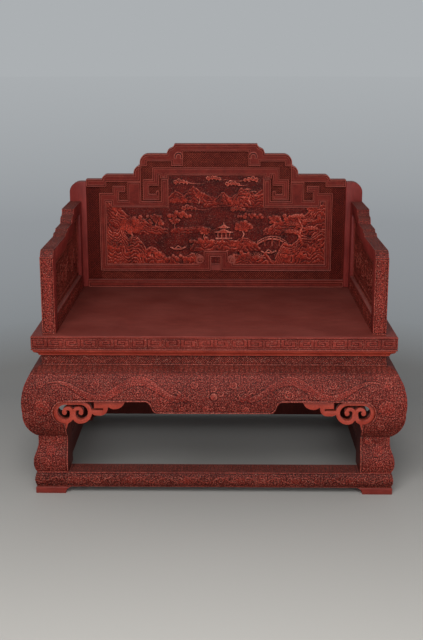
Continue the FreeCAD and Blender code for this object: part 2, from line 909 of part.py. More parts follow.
def fret_frame(near, far_side):
    # Broad raised bands with narrow winding channels between them, right half first.
    level = seat_top
    half_border = border_band / 2
    low = level + scene_inner_top
    top_edge = level + scene_top
    border_out = scene_half + border_band
    border_low = level + scene_bottom - border_band
    run_in = wing_inner - edge_band
    top_run = level + wing_low_height + wing_step - edge_band - fret_seam
    down_x = wing_inner + fret_band
    shelf = low + lip_band
    hook_x = down_x + wing_pocket
    hook_top = top_run - wing_channel_top
    neck_out = scene_neck_half + lip_band
    neck_top = top_edge - bar_drop
    block_in = neck_out + fret_gap
    block_out = run_in - fret_gap
    block_low = low + fret_band + fret_gap / 2
    areas = [
        ((0, border_out), (border_low, border_low + border_band)),
        ((scene_half, border_out), (border_low, shelf + lip_band)),
        ((run_in, border_out), (low, shelf)),
        ((run_in, down_x), (low, top_run)),
        ((hook_x, border_out), (shelf, shelf + lip_band)),
        ((hook_x, hook_x + fret_band), (shelf, hook_top)),
        ((down_x + wing_channel, hook_x + fret_band), (hook_top - fret_band, hook_top)),
        ((scene_neck_half, run_in), (low, low + fret_band)),
        ((scene_neck_half, neck_out), (low, neck_top)),
        ((0, bar_half), (top_edge, top_edge + bar_height)),
        ((bar_half - fret_band, bar_half), (neck_top - fret_gap, top_edge)),
        ((scene_neck_half + fret_gap / 2, neck_out + fret_gap / 2), (neck_top + fret_gap / 2, top_edge)),
        ((block_in, block_out), (neck_top - fret_band, neck_top)),
        ((block_out - fret_band, block_out), (block_low, neck_top)),
        ((block_in, block_out), (block_low, block_low + fret_band)),
        ((block_in, block_in + fret_band / 2), (block_low, block_low + 1.5 * fret_band)),
    ]
    pieces = [box(x_range, (near, far_side), z_range) for x_range, z_range in areas]
    opening = slab("xz", scene_steps(level), near - overcut, far_side + overcut)
    pieces = [joined(pieces).cut(opening)]
    tab_low = level + scene_bottom
    pieces.append(box((0, tab_half), (near, far_side), (tab_low - half_border, tab_low + tab_height)))
    tab_foot = (tab_low - half_border, tab_low + tab_scroll * 0.6)
    pieces.append(box((0, tab_half + tab_scroll * 0.5), (near, far_side), tab_foot))
    depth = far_side - near
    pieces += curl((tab_half + tab_scroll * 0.9, tab_low + tab_scroll), tab_scroll, near, depth)
    slot = box(
        (-tab_slot / 2, tab_slot / 2),
        (near - overcut, far_side + overcut),
        (tab_low - border_band - overcut, tab_low + tab_height * 0.57),
    )
    return whole(joined(pieces)).cut(slot)


def curl(centre, radius, near, depth):
    # A round scroll head: a ring with a boss inside it, tied by a short bridge.
    base = Vec(centre[0], near, centre[1])
    axis = Vec(0, 1, 0)
    hole = Part.makeCylinder(radius * 0.62, depth, base, axis)
    ring = Part.makeCylinder(radius, depth, base, axis).cut(hole)
    boss = Part.makeCylinder(radius * 0.3, depth, base, axis)
    bridge = box(
        (centre[0] - radius * 0.15, centre[0] + radius * 0.15),
        (near, near + depth),
        (centre[1], centre[1] + radius * 0.8),
    )
    foot = box(
        (centre[0] - radius * 0.5, centre[0] + radius * 0.5),
        (near, near + depth),
        (centre[1] - radius * 2.0, centre[1] - radius * 0.7),
    )
    return [ring, boss, bridge, foot]


def build():
    rails = {}
    plinths = {}
    for side in sides:
        across, deep = side_sizes(side)
        quarters = sides[side]
        plinths[side] = turned(plinth_rail(across, deep), quarters)
        rails[side] = turned(mitred(seat_section(), across, deep), quarters)
        gap = side_lappet_gap if quarters % 2 else front_lappet_gap
        save("apron_" + side, turned(apron(across, deep, gap), quarters))
        save("petal_moulding_" + side, turned(moulding(across, deep), quarters))
        save("waist_board_" + side, turned(waist_board(across, deep), quarters))

    bracket_shape = bracket()
    for side in sides:
        across, deep = side_sizes(side)
        for hand, word in [(-1, "first"), (1, "second")]:
            placed = bracket_at(bracket_shape, across, deep, hand)
            save("bracket_" + side + "_" + word, turned(placed, sides[side]))

    leg_shape = leg()
    foot_shape = foot()
    for corner in corners:
        save("leg_" + corner, at_corner(leg_shape, corner))
        save("plinth_foot_" + corner, at_corner(foot_shape, corner))
        low_mortise = at_corner(leg_bottom_tenon(), corner)
        high_mortise = at_corner(leg_top_tenon(), corner)
        for side in corner.split("_"):
            plinths[side] = plinths[side].cut(low_mortise)
            rails[side] = rails[side].cut(high_mortise)

    panel = seat_panel()
    battens = Part.makeCompound([batten(place_x) for place_x in (-batten_spacing, 0.0, batten_spacing)])
    save("seat_battens", battens)
    rails["front"] = rails["front"].cut(battens)
    rails["back"] = rails["back"].cut(battens)
    panel = panel.cut(battens)
    save("seat_panel", panel)
    for side in sides:
        rails[side] = rails[side].cut(panel)
    for long_side, sign_y in [("front", -1), ("back", 1)]:
        for short_side, sign_x in [("left", -1), ("right", 1)]:
            tenon = seat_tenon(sign_x, sign_y)
            rails[short_side] = rails[short_side].cut(tenon)
            rails[long_side] = rails[long_side].fuse(tenon).removeSplitter()

    for sign, word in [(-1, "left"), (1, "right")]:
        for name, piece in arm_pieces(sign).items():
            save(word + "_arm_" + name, piece)
        centre_x = sign * (arm_inner_x + arm_outer_x) / 2
        rails[word] = rails[word].cut(arm_tenons(centre_x, slide_clearance, end_clearance))
    rails["back"] = rails["back"].cut(back_tenons(slide_clearance, end_clearance))
    for side in sides:
        save("seat_rail_" + side, rails[side])
        save("plinth_rail_" + side, plinths[side])

    board = back_board()
    face = back_front_y + board_face_inset
    frame = fret_frame(face - fret_thickness, face)
    scene = whole(slab("xz", scene_steps(seat_top), face - scene_thickness, face)).cut(frame)
    save("back_board", board)
    save("back_edge_border", whole(edge_border(face - fret_thickness, face)).cut(frame))
    save("back_fret_border", frame)
    save("back_relief_panel", scene)
    save("back_bottom_rail", bottom_rail().cut(board).cut(back_tenons(0, 0)))
    save("back_tenons", back_tenons(0, 0))
    for sign, word in [(-1, "left"), (1, "right")]:
        save("back_post_" + word, back_post(sign).cut(board))


build()
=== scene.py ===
import json
import math
from functools import partial

import bpy
import numpy as np
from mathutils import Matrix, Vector
from mathutils.bvhtree import BVHTree

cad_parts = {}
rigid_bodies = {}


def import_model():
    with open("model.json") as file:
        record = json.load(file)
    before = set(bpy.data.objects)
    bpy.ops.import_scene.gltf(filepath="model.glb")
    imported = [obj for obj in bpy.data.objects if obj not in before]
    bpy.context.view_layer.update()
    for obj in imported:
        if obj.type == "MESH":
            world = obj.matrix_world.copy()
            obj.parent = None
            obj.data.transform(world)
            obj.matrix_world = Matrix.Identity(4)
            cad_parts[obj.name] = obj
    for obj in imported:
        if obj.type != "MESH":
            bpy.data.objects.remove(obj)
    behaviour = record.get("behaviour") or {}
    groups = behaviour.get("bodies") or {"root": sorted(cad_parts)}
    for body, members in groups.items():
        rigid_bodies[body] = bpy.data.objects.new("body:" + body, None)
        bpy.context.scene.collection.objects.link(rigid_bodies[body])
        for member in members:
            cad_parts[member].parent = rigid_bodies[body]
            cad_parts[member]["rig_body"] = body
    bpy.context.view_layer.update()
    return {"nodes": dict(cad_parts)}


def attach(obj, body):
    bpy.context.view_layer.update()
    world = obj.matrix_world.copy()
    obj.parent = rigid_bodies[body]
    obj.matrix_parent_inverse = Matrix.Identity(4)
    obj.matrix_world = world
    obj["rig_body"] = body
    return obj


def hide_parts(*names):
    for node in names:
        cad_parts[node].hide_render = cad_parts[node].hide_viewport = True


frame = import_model()
nodes = frame["nodes"]
bpy.ops.object.select_all(action="DESELECT")
print("frame loaded:", len(nodes), "nodes")

turn = 2 * math.pi
plan = {"halfLength": 572.0, "halfDepth": 395.0}  # mm, the rectangle the feet stand on
farOff = 1e9  # mm, farther than anything
noEdge = 99  # mm, too far from an edge for its bead
backing = 2.0  # mm that a carved face reaches in behind its ground
fullRelief = 3.2  # mm, the height that counts as the top of a carving
sideNames = ("front", "right", "back", "left")
corners = {"front_left": (-1, -1), "front_right": (1, -1), "back_left": (-1, 1), "back_right": (1, 1)}
hands = {"left": -1, "right": 1}


# ways to draw a relief, all in mm

def soft(value, low, high):
    t = np.clip((value - low) / (high - low), 0, 1)
    return t * t * (3 - 2 * t)


def scatter(i, j, seed):
    # a number from 0 to 1 that looks random and is the same each run
    value = np.sin(i * 127.1 + j * 311.7 + seed * 74.7) * 43758.5453
    return value - np.floor(value)


def lay(under, mask, top):
    return under * (1 - mask) + top * mask


def dome(x):
    return np.sqrt(np.clip(1 - x ** 2, 0, 1))


def bay(u, period):
    # place within a bay that repeats along u
    return u - np.floor(u / period) * period


def mottle(u, v, size, seed):
    # smooth noise from 0 to 1
    gu, gv = u / size, v / size
    iu, iv = np.floor(gu), np.floor(gv)
    fu, fv = soft(gu - iu, 0, 1), soft(gv - iv, 0, 1)
    low, high = (lay(scatter(iu, row, seed), fu, scatter(iu + 1, row, seed)) for row in (iv, iv + 1))
    return lay(low, fv, high)


def curls(u, v, cell, pitch, seed):
    # a field of small carved curls, each wound about its own centre
    iu, iv = np.floor(u / cell), np.floor(v / cell)
    best = np.full(u.shape, farOff)
    second = best.copy()
    angle = np.zeros(u.shape)
    stray = 0.6  # share of a cell that a centre may stray
    for di in (-1, 0, 1):
        for dj in (-1, 0, 1):
            ci, cj = iu + di, iv + dj
            du = u - (ci + 0.5 + stray * (scatter(ci, cj, seed) - 0.5)) * cell
            dv = v - (cj + 0.5 + stray * (scatter(ci, cj, seed + 1) - 0.5)) * cell
            far = np.hypot(du, dv)
            hand = np.where(scatter(ci, cj, seed + 2) > 0.5, 1.0, -1.0)
            nearer = far < best
            second = np.where(nearer, best, np.minimum(second, far))
            angle = np.where(nearer, hand * np.arctan2(dv, du) / turn + scatter(ci, cj, seed + 3), angle)
            best = np.where(nearer, far, best)
    ridge = 0.5 + 0.5 * np.cos(turn * (best / pitch - angle))
    return ridge * soft(second - best, 0, 0.22 * cell)


def lattice(u, v, pitch):
    # distance from the nearest line of a slanting lattice
    p, q = (u + v) / pitch, (u - v) / pitch
    return np.minimum(np.abs(p - np.round(p)), np.abs(q - np.round(q))) * pitch * 0.707


def trace(u, v, path, room):
    # distance from a line of points, the side it lies on, the length along it, and its whole length
    path = np.asarray(path, float)
    low, high = path.min(0) - room, path.max(0) + room
    near = (u > low[0]) & (u < high[0]) & (v > low[1]) & (v < high[1])
    pu, pv = u[near], v[near]
    best = np.full(pu.shape, farOff)
    side, length, start = np.zeros(pu.shape), np.zeros(pu.shape), 0.0
    for (a, b), (c, d) in zip(path, path[1:]):
        run = math.hypot(c - a, d - b)
        t = np.clip(((pu - a) * (c - a) + (pv - b) * (d - b)) / run ** 2, 0, 1)
        far = np.hypot(pu - a - t * (c - a), pv - b - t * (d - b))
        closer = far < best
        side = np.where(closer, np.sign((c - a) * (pv - b) - (d - b) * (pu - a)) * far, side)
        length = np.where(closer, start + t * run, length)
        best = np.where(closer, far, best)
        start += run
    result = [np.full(u.shape, farOff), np.zeros(u.shape), np.zeros(u.shape)]
    for whole, part in zip(result, (best, side, length)):
        whole[near] = part
    return *result, start


def line(u, v, h, path, half, top, thin=0.35):
    # a raised cord along a path, thinner at its far end
    far, _, length, total = trace(u, v, path, half + 4)
    wide = half * (1 - (1 - thin) * length / total)
    return lay(h, soft(wide - far, -0.9, 0.7), top * (0.55 + 0.45 * dome(far / (wide + 0.4))))


def spiral(cu, cv, radius, turns, start, hand):
    t = np.linspace(0, 1, int(16 * turns) + 4)
    reach = radius * (1 - 0.86 * t)
    angle = start + hand * turn * turns * t
    return np.stack([cu + reach * np.cos(angle), cv + reach * np.sin(angle)], axis=1)


def rosette(u, v, h, cu, cv, radius, petals, top):
    # an open flower: two rows of petals about an eye
    du, dv = u - cu, v - cv
    r, angle = np.hypot(du, dv), np.arctan2(dv, du)
    for reach, shift, rise in ((1.0, 0.0, 0.7), (0.68, 0.5, 0.9), (0.3, 0.0, 1.0)):
        lobe = np.abs(np.cos(petals * angle / 2 + shift * math.pi))
        edge = radius * reach * (0.74 + 0.26 * np.sqrt(lobe))
        cup = 0.62 + 0.38 * np.clip(r / edge, 0, 1) ** 2 - 0.12 * (1 - lobe)
        h = lay(h, soft(edge - r, -0.7, 0.9), top * rise * cup)
    return h


def vine(u, v, h, middle, period, swing, curl, half, top):
    # a winding stem with a curl in each bend, repeating along u
    w = bay(u, period)
    t = np.linspace(-0.12, 1.12, 42) * period
    stem = np.stack([t, middle + swing * np.sin(turn * t / period)], axis=1)
    h = line(w, v, h, stem, half, top, 1)
    for place, hand in ((0.25, 1), (0.75, -1)):
        ring = spiral(place * period, middle - hand * 0.15 * swing, curl, 1.4, hand * 2.6, -hand)
        h = line(w, v, h, ring, half * 0.85, top, 0.75)
        leaf = spiral((place + 0.2) * period, middle + hand * 1.05 * swing, curl * 0.55, 0.9, -hand * 2.2, hand)
        h = line(w, v, h, leaf, half * 0.9, top * 0.9, 0.4)
    return h


def bead(h, wide, top, *edges):
    # a plain rounded edge with a fine groove beside it, for each distance in from an edge
    for far in edges:
        h = lay(h, soft(wide * 1.55 - far, -0.4, 0.8), 0.35)
        crown = dome((far - wide * 0.5) / (wide * 0.62))
        h = lay(h, soft(wide - far, -0.6, 0.6), top * (0.55 + 0.45 * crown))
    return h


# building a carved face

def setMode(mode):
    bpy.ops.object.mode_set(mode=mode)


def choose(piece):
    bpy.ops.object.select_all(action="DESELECT")
    bpy.context.view_layer.objects.active = piece
    piece.select_set(True)


def blur(h, cells):
    for axis in (0, 1):
        count = h.shape[axis]
        size = min(cells, count // 2)
        pad = [(size, size) if a == axis else (0, 0) for a in (0, 1)]
        total = np.cumsum(np.pad(h, pad, mode="edge"), axis=axis)
        first = np.take(total, np.arange(count), axis=axis)
        last = np.take(total, np.arange(count) + 2 * size, axis=axis)
        h = (last - first) / (2 * size)
    return h


def finishPiece(piece, name, body, material, slotName="carved_lacquer", angle=70):
    piece.name = piece.data.name = name
    piece.data.materials.clear()
    piece.data.materials.append(material)
    choose(piece)
    bpy.ops.object.shade_smooth_by_angle(angle=math.radians(angle))
    piece.select_set(False)
    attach(piece, body)
    return piece


def carvedFace(name, front, back, height, body, material, upright=False, slotName="carved_lacquer"):
    # a grid set to the carving, closed behind by a plain strip from end to end or, upright, from foot to top
    rows, cols = height.shape
    bpy.ops.object.select_all(action="DESELECT")
    bpy.ops.mesh.primitive_grid_add(x_subdivisions=cols - 1, y_subdivisions=rows - 1, size=1)
    piece = bpy.context.object
    mesh = piece.data
    mesh.vertices.foreach_set("co", (front.reshape(-1) / 1000).astype(np.float32))
    index = np.arange(rows * cols).reshape(rows, cols)
    sheet = front
    if upright:
        index, sheet = index.T, front.swapaxes(0, 1)
    ends = np.zeros(rows * cols, int)
    ends[index[:, 0]] = 1
    ends[index[:, -1]] = 2
    pairs = np.zeros(len(mesh.edges) * 2, int)
    mesh.edges.foreach_get("vertices", pairs)
    pairs = ends[pairs.reshape(-1, 2)]
    setMode("EDIT")
    bpy.context.tool_settings.mesh_select_mode = (False, True, False)
    bpy.ops.mesh.select_all(action="DESELECT")
    setMode("OBJECT")
    mesh.edges.foreach_set("select", (pairs[:, 0] > 0) & (pairs[:, 0] == pairs[:, 1]))
    setMode("EDIT")
    bpy.ops.mesh.extrude_edges_move()
    setMode("OBJECT")
    points = np.zeros(len(mesh.vertices) * 3, np.float32)
    mesh.vertices.foreach_get("co", points)
    points = points.reshape(-1, 3)
    sources = np.concatenate([sheet[:, 0], sheet[:, -1]]) / 1000
    targets = np.concatenate([back[:, 0], back[:, 1]]) / 1000
    for i in range(rows * cols, len(points)):
        points[i] = targets[np.argmin(((sources - points[i]) ** 2).sum(1))]
    mesh.vertices.foreach_set("co", points.reshape(-1))
    setMode("EDIT")
    bpy.ops.mesh.bridge_edge_loops()
    bpy.ops.mesh.select_all(action="SELECT")
    bpy.ops.mesh.fill_holes(sides=0)
    bpy.ops.mesh.normals_make_consistent(inside=False)
    setMode("OBJECT")
    extra = np.zeros(len(mesh.vertices) - rows * cols)
    # painted shade and highlight: what lies below its surroundings is darkened as shade in the cuts, what
    # stands above is paled as rubbed wear and highlight
    hollow = np.clip(0.5 + 0.55 * (height - 0.5 * blur(height, 2) - 0.5 * blur(height, 5)), 0, 1)
    for title, values in (("relief", np.clip(height / fullRelief, 0, 1)), ("hollow", hollow)):
        attribute = mesh.attributes.new(title, "FLOAT", "POINT")
        attribute.data.foreach_set("value", np.concatenate([values.reshape(-1), extra]).astype(np.float32))
    return finishPiece(piece, name, body, material, slotName)


def atSide(k, a, far, z):
    # a along the side, far out from the middle: front, right, back, left
    x, y = ((a, -far), (far, a), (-a, far), (-far, -a))[k]
    return np.stack([x, y, z + 0 * x], axis=-1)


def sideSizes(k):
    sizes = (plan["halfLength"], plan["halfDepth"])
    return sizes if k % 2 == 0 else sizes[::-1]


def evenly(points, step):
    points = np.asarray(points, float)
    length = np.concatenate([[0], np.cumsum(np.hypot(*np.diff(points, axis=0).T))])
    s = np.linspace(0, length[-1], max(4, int(length[-1] / step) + 1))
    return np.stack([np.interp(s, length, points[:, i]) for i in (0, 1)], axis=1), s


def arc(start, end, rise, count=14):
    # points of an arc standing off its chord by rise, to the right of the way along it
    (a, b), (c, d) = start, end
    size = math.hypot(c - a, d - b)
    t = np.linspace(0, 1, count)
    off = 4 * rise * t * (1 - t)
    return list(zip(a + (c - a) * t + off * (d - b) / size, b + (d - b) * t - off * (c - a) / size))


def facing(points):
    # unit normal to the right of a profile
    slope = np.gradient(points, axis=0)
    size = np.hypot(slope[:, 0], slope[:, 1])
    return np.stack([slope[:, 1] / size, -slope[:, 0] / size], axis=1)


def sweptFace(name, k, profile, step, motif, material, span=None, slotName="carved_lacquer"):
    # a moulding carved along one side; with no span its ends are mitred
    across, deep = sideSizes(k)
    points, s = evenly(profile, step)
    normal = facing(points)
    out, z = points[:, :1], points[:, 1:]
    reach, grow = (span, 0) if span else (across, 1)
    share = np.linspace(-1, 1, int(2 * reach / step) + 1)[None, :]
    a = share * (reach + grow * out)
    height = motif(a, s[:, None] + 0 * a, s[-1], k)
    outNow = out + height * normal[:, :1]
    along = share * (reach + grow * outNow)
    front = atSide(k, along, deep + outNow, z + height * normal[:, 1:])
    outBack, zBack = out - backing * normal[:, :1], z - backing * normal[:, 1:]
    edge = np.array([[-1.0, 1.0]]) * (reach + grow * outBack)
    back = atSide(k, edge, deep + outBack + 0 * edge, zBack + 0 * edge)
    return carvedFace(name, front, back, height, "base", material, False, slotName)


def flatFace(name, origin, uAxis, uRange, low, high, step, motif, body, material):
    # a carved panel on an upright flat face; low and high are numbers or functions of u
    cols = int((uRange[1] - uRange[0]) / step) + 1
    u = np.linspace(uRange[0], uRange[1], cols)
    lows, highs = (edge(u) if callable(edge) else np.full(cols, float(edge)) for edge in (low, high))
    rows = int((highs - lows).max() / step) + 1
    share = np.linspace(0, 1, rows)[:, None]
    v = lows + share * (highs - lows)
    u = u[None, :] + 0 * v
    height = motif(u, v, lows + 0 * v, highs + 0 * v)
    uAxis, vAxis = np.array(uAxis, float), np.array((0.0, 0.0, 1.0))
    normal = np.cross(uAxis, vAxis)
    flat = np.array(origin, float) + u[..., None] * uAxis + v[..., None] * vAxis
    front = flat + height[..., None] * normal
    back = (flat[[0, -1]] - backing * normal).swapaxes(0, 1)
    return carvedFace(name, front, back, height, body, material, True)


def castOn(names, origin, way):
    # nearest hit on some CAD nodes, mm in and mm out
    best = None
    for name in names:
        found = trees[name].ray_cast(Vector(origin) / 1000, Vector(way))
        if found[0] is not None and (best is None or found[3] < best[1]):
            best = (np.array(found[0]) * 1000, found[3])
    return None if best is None else best[0]


graph = bpy.context.evaluated_depsgraph_get()
trees = {name: BVHTree.FromObject(node, graph) for name, node in nodes.items()}
print("frame measured")


# finishes

def paint(code):
    parts = [int(code[i:i + 2], 16) / 255 for i in (1, 3, 5)]
    return tuple(p / 12.92 if p <= 0.04045 else ((p + 0.055) / 1.055) ** 2.4 for p in parts) + (1.0,)


def addNode(tree, kind, settings, links=None):
    # a link from a whole node takes its first output, or a Mix node's colour
    node = tree.nodes.new("ShaderNode" + kind)
    for key, value in settings.items():
        if key == "stops":
            for place, code in value[2:]:
                node.color_ramp.elements.new(place)
            for element, (place, code) in zip(node.color_ramp.elements, sorted(value)):
                element.position, element.color = place, paint(code)
        elif isinstance(key, str) and hasattr(node, key):
            setattr(node, key, value)
        else:
            node.inputs[key].default_value = value
    for key, source in (links or {}).items():
        if isinstance(source, bpy.types.Node):
            source = source.outputs[2 if source.bl_idname == "ShaderNodeMix" else 0]
        tree.links.new(source, node.inputs[key])
    return node


blend = {"data_type": "RGBA"}
multiply = {"data_type": "RGBA", "blend_type": "MULTIPLY", 0: 1.0}


def startFinish(name):
    material = bpy.data.materials.new(name)
    material.use_nodes = True
    tree = material.node_tree
    tree.nodes.clear()
    add = partial(addNode, tree)
    place = add("TexCoord", {}).outputs
    return material, add, place["Normal"], {"Vector": place["Object"]}


def perMetre(mm):
    return 1000.0 / mm  # noise cells of this size, for coordinates in metres


def endFinish(add, settings, links):
    shader = add("BsdfPrincipled", settings, links)
    add("OutputMaterial", {}, {"Surface": shader})


def endLacquer(add, up, colour, cloud, gloss, bump, look):
    # dust that has come to rest where a surface faces up, over the lacquer's own colour and sheen
    axes = add("SeparateXYZ", {}, {"Vector": up})
    lying = add("MapRange", {"From Min": 0.3, "From Max": 0.95, "To Max": look["settled"]},
                {"Value": axes.outputs["Z"]})
    patchy = add("MapRange", {"From Min": 0.3, "From Max": 0.7, "To Min": 0.55}, {"Value": cloud})
    share = add("Math", {"operation": "MULTIPLY"}, {0: lying, 1: patchy})
    final = add("Mix", {**blend, 7: paint(look["settledColour"])}, {0: share, 6: colour})
    rough = add("MapRange", dict(zip(("To Min", "To Max"), look["rough"])), {"Value": gloss})
    endFinish(add, {"IOR": 1.5, "Specular IOR Level": look["specular"]},
              {"Base Color": final, "Roughness": rough, "Normal": bump})


def carvedLacquer(name, look):
    # cinnabar lacquer cut with a knife: satin, with painted shade dark in the cuts and on the low ground, and
    # ridges paler as rubbed wear and painted highlight
    material, add, up, where = startFinish(name)
    relief, hollow = (add("Attribute", {"attribute_name": title}).outputs["Fac"]
                      for title in ("relief", "hollow"))
    cloud = add("TexNoise", {"Scale": perMetre(look["cloudMm"]), "Detail": 4.0}, where)
    cell = add("TexVoronoi", {"Scale": perMetre(look["cellMm"])}, where)
    grain = add("TexNoise", {"Scale": perMetre(look["grainMm"]), "Detail": 3.0}, where)
    colour = add("ValToRGB", {"stops": look["cuts"]}, {"Fac": hollow})
    # depth darkens the low ground of a carving as painted shade
    for title, source in (("depth", relief), ("cloud", cloud), ("knife", cell)):
        shade = add("ValToRGB", {"stops": look[title]}, {"Fac": source})
        colour = add("Mix", multiply, {6: colour, 7: shade})
    dust = add("MapRange", {"From Min": 0.57, "From Max": 0.74, "To Max": look["dust"]}, {"Value": grain})
    worn = add("Mix", {**blend, 7: paint(look["dustColour"])}, {0: dust, 6: colour})
    bump = add("Bump", {"Strength": look["bump"], "Distance": 0.0012, "invert": True}, {"Height": cell})
    endLacquer(add, up, worn, cloud, grain, bump, look)
    return material


def plainLacquer(name, look):
    # brushed and rubbed-down lacquer: a soft satin sheen, faint brush drag, dust and small scuffs
    material, add, up, where = startFinish(name)
    cloud = add("TexNoise", {"Scale": perMetre(look["cloudMm"]), "Detail": 5.0}, where)
    body = add("ValToRGB", {"stops": [(0.3, look["dark"]), (0.7, look["light"])]}, {"Fac": cloud})
    drag = add("Mapping", {"Scale": look["drag"]}, where)
    brush = add("TexNoise", {"Scale": perMetre(look["brushMm"]), "Detail": 3.0}, {"Vector": drag})
    fleck = add("TexNoise", {"Scale": perMetre(look["fleckMm"]), "Detail": 2.0}, where)
    spots = add("MapRange", {"From Min": 0.66, "From Max": 0.78, "To Max": look["fleck"]}, {"Value": fleck})
    dusty = add("Mix", {**blend, 7: paint(look["fleckColour"])}, {0: spots, 6: body})
    lines = add("MapRange", {"From Min": 0.35, "From Max": 0.65, "To Min": 0.86, "To Max": 1.1},
                {"Value": brush})
    # painted shade: darker towards the back, where a finish says so, for the shade that the back and arms cast
    # on the seat's rear
    axes = add("SeparateXYZ", {}, where)
    kept = add("MapRange", {"From Min": -0.2, "From Max": 0.33, "To Min": 1.0, "To Max": look["rear"]},
               {"Value": axes.outputs["Y"]})
    tone = add("Math", {"operation": "MULTIPLY"}, {0: lines, 1: kept})
    toned = add("VectorMath", {"operation": "SCALE"}, {0: dusty, "Scale": tone})
    bump = add("Bump", {"Strength": look["bump"], "Distance": 0.0005}, {"Height": brush})
    endLacquer(add, up, toned, cloud, cloud, bump, look)
    return material


def sawnTimber(name, look):
    # bare softwood: straight grain lines, dry and dull
    material, add, _, where = startFinish(name)
    drag = add("Mapping", {"Scale": look["drag"]}, where)
    grain = add("TexNoise", {"Scale": perMetre(look["grainMm"]), "Detail": 4.0, "Distortion": 0.6},
                {"Vector": drag})
    body = add("ValToRGB", {"stops": look["body"]}, {"Fac": grain})
    bump = add("Bump", {"Strength": 0.4, "Distance": 0.0008}, {"Height": grain})
    endFinish(add, {"IOR": 1.45, "Roughness": 0.72}, {"Base Color": body, "Normal": bump})
    return material


cinnabar = {
    "cuts": [(0.2, "#5c1610"), (0.42, "#a2362a"), (0.6, "#b64336"), (0.9, "#d97b6a")],
    "depth": [(0.0, "#bcacaa"), (0.5, "#ffffff")], "cloud": [(0.3, "#cbb9b5"), (0.7, "#ffffff")], "cloudMm": 75,
    "cellMm": 3.8, "knife": [(0.1, "#ffffff"), (0.62, "#948280")],
    "grainMm": 3.4, "dust": 0.4, "dustColour": "#d1917f", "rough": (0.45, 0.62), "specular": 0.12, "bump": 0.5,
    "settled": 0.12, "settledColour": "#7c534b",
}
carved = carvedLacquer("carved_cinnabar_lacquer", cinnabar)
dusted = carvedLacquer("dusty_carved_lacquer", {
    **cinnabar, "dust": 0.6, "dustColour": "#8d6b63", "settled": 0.45, "settledColour": "#5c403a",
})
# painted shade: a darker copy of the carved lacquer for the petal moulding, waist and plinth low on the base
browned = carvedLacquer("browned_carved_lacquer", {
    **cinnabar, "cuts": [(0.2, "#4e150e"), (0.42, "#8d3024"), (0.6, "#a13d30"), (0.9, "#c67160")],
})
keyed = carvedLacquer("keyed_border_lacquer", {
    **cinnabar, "cuts": [(0.2, "#551610"), (0.42, "#8e3227"), (0.6, "#983a2f"), (0.9, "#ba6657")],
    "knife": [(0.1, "#ffffff"), (0.7, "#c9bcba")], "dust": 0.25, "bump": 0.2,
})
diaper = {
    "cuts": [(0.25, "#170302"), (0.45, "#4e110b"), (0.62, "#6c1d13"), (0.85, "#98392b")],
    "depth": [(0.0, "#a89a98"), (0.4, "#ffffff")], "cloud": [(0.3, "#cfc0be"), (0.7, "#ffffff")], "cloudMm": 70,
    "cellMm": 4.0, "knife": [(0.1, "#ffffff"), (0.7, "#b5a6a4")],
    "grainMm": 3.0, "dust": 0.12, "dustColour": "#8a4a40", "rough": (0.45, 0.6), "specular": 0.06, "bump": 0.2,
    "settled": 0.2, "settledColour": "#6a4a42",
}
ground = carvedLacquer("dark_diaper_lacquer", diaper)
# painted light: a paler copy of the diaper lacquer for every field but the two beside the arms, which keep the
# darker one as painted shade
rubbedGround = carvedLacquer("rubbed_diaper_lacquer", {
    **diaper, "cuts": [(0.25, "#280805"), (0.45, "#651d14"), (0.62, "#812d21"), (0.85, "#a65140")],
})
scenic = carvedLacquer("carved_scene_lacquer", {
    **diaper, "cuts": [(0.2, "#420b06"), (0.42, "#b02f1f"), (0.6, "#cf4730"), (0.88, "#ea927f")],
    "depth": [(0.1, "#86635d"), (0.3, "#b3938e"), (0.7, "#ffffff")],
    "cloud": [(0.32, "#a3938f"), (0.5, "#e2cfca"), (0.68, "#ffffff")], "cloudMm": 55,
    "knife": [(0.1, "#ffffff"), (0.7, "#a89896")], "dust": 0.25, "dustColour": "#cf8d7c", "specular": 0.1,
    "bump": 0.25, "settled": 0.1,
})

# brush marks drawn out eight times as long as wide, along x or along z
even, alongX, alongZ = (1, 1, 1), (0.12, 1, 1), (1, 1, 0.12)
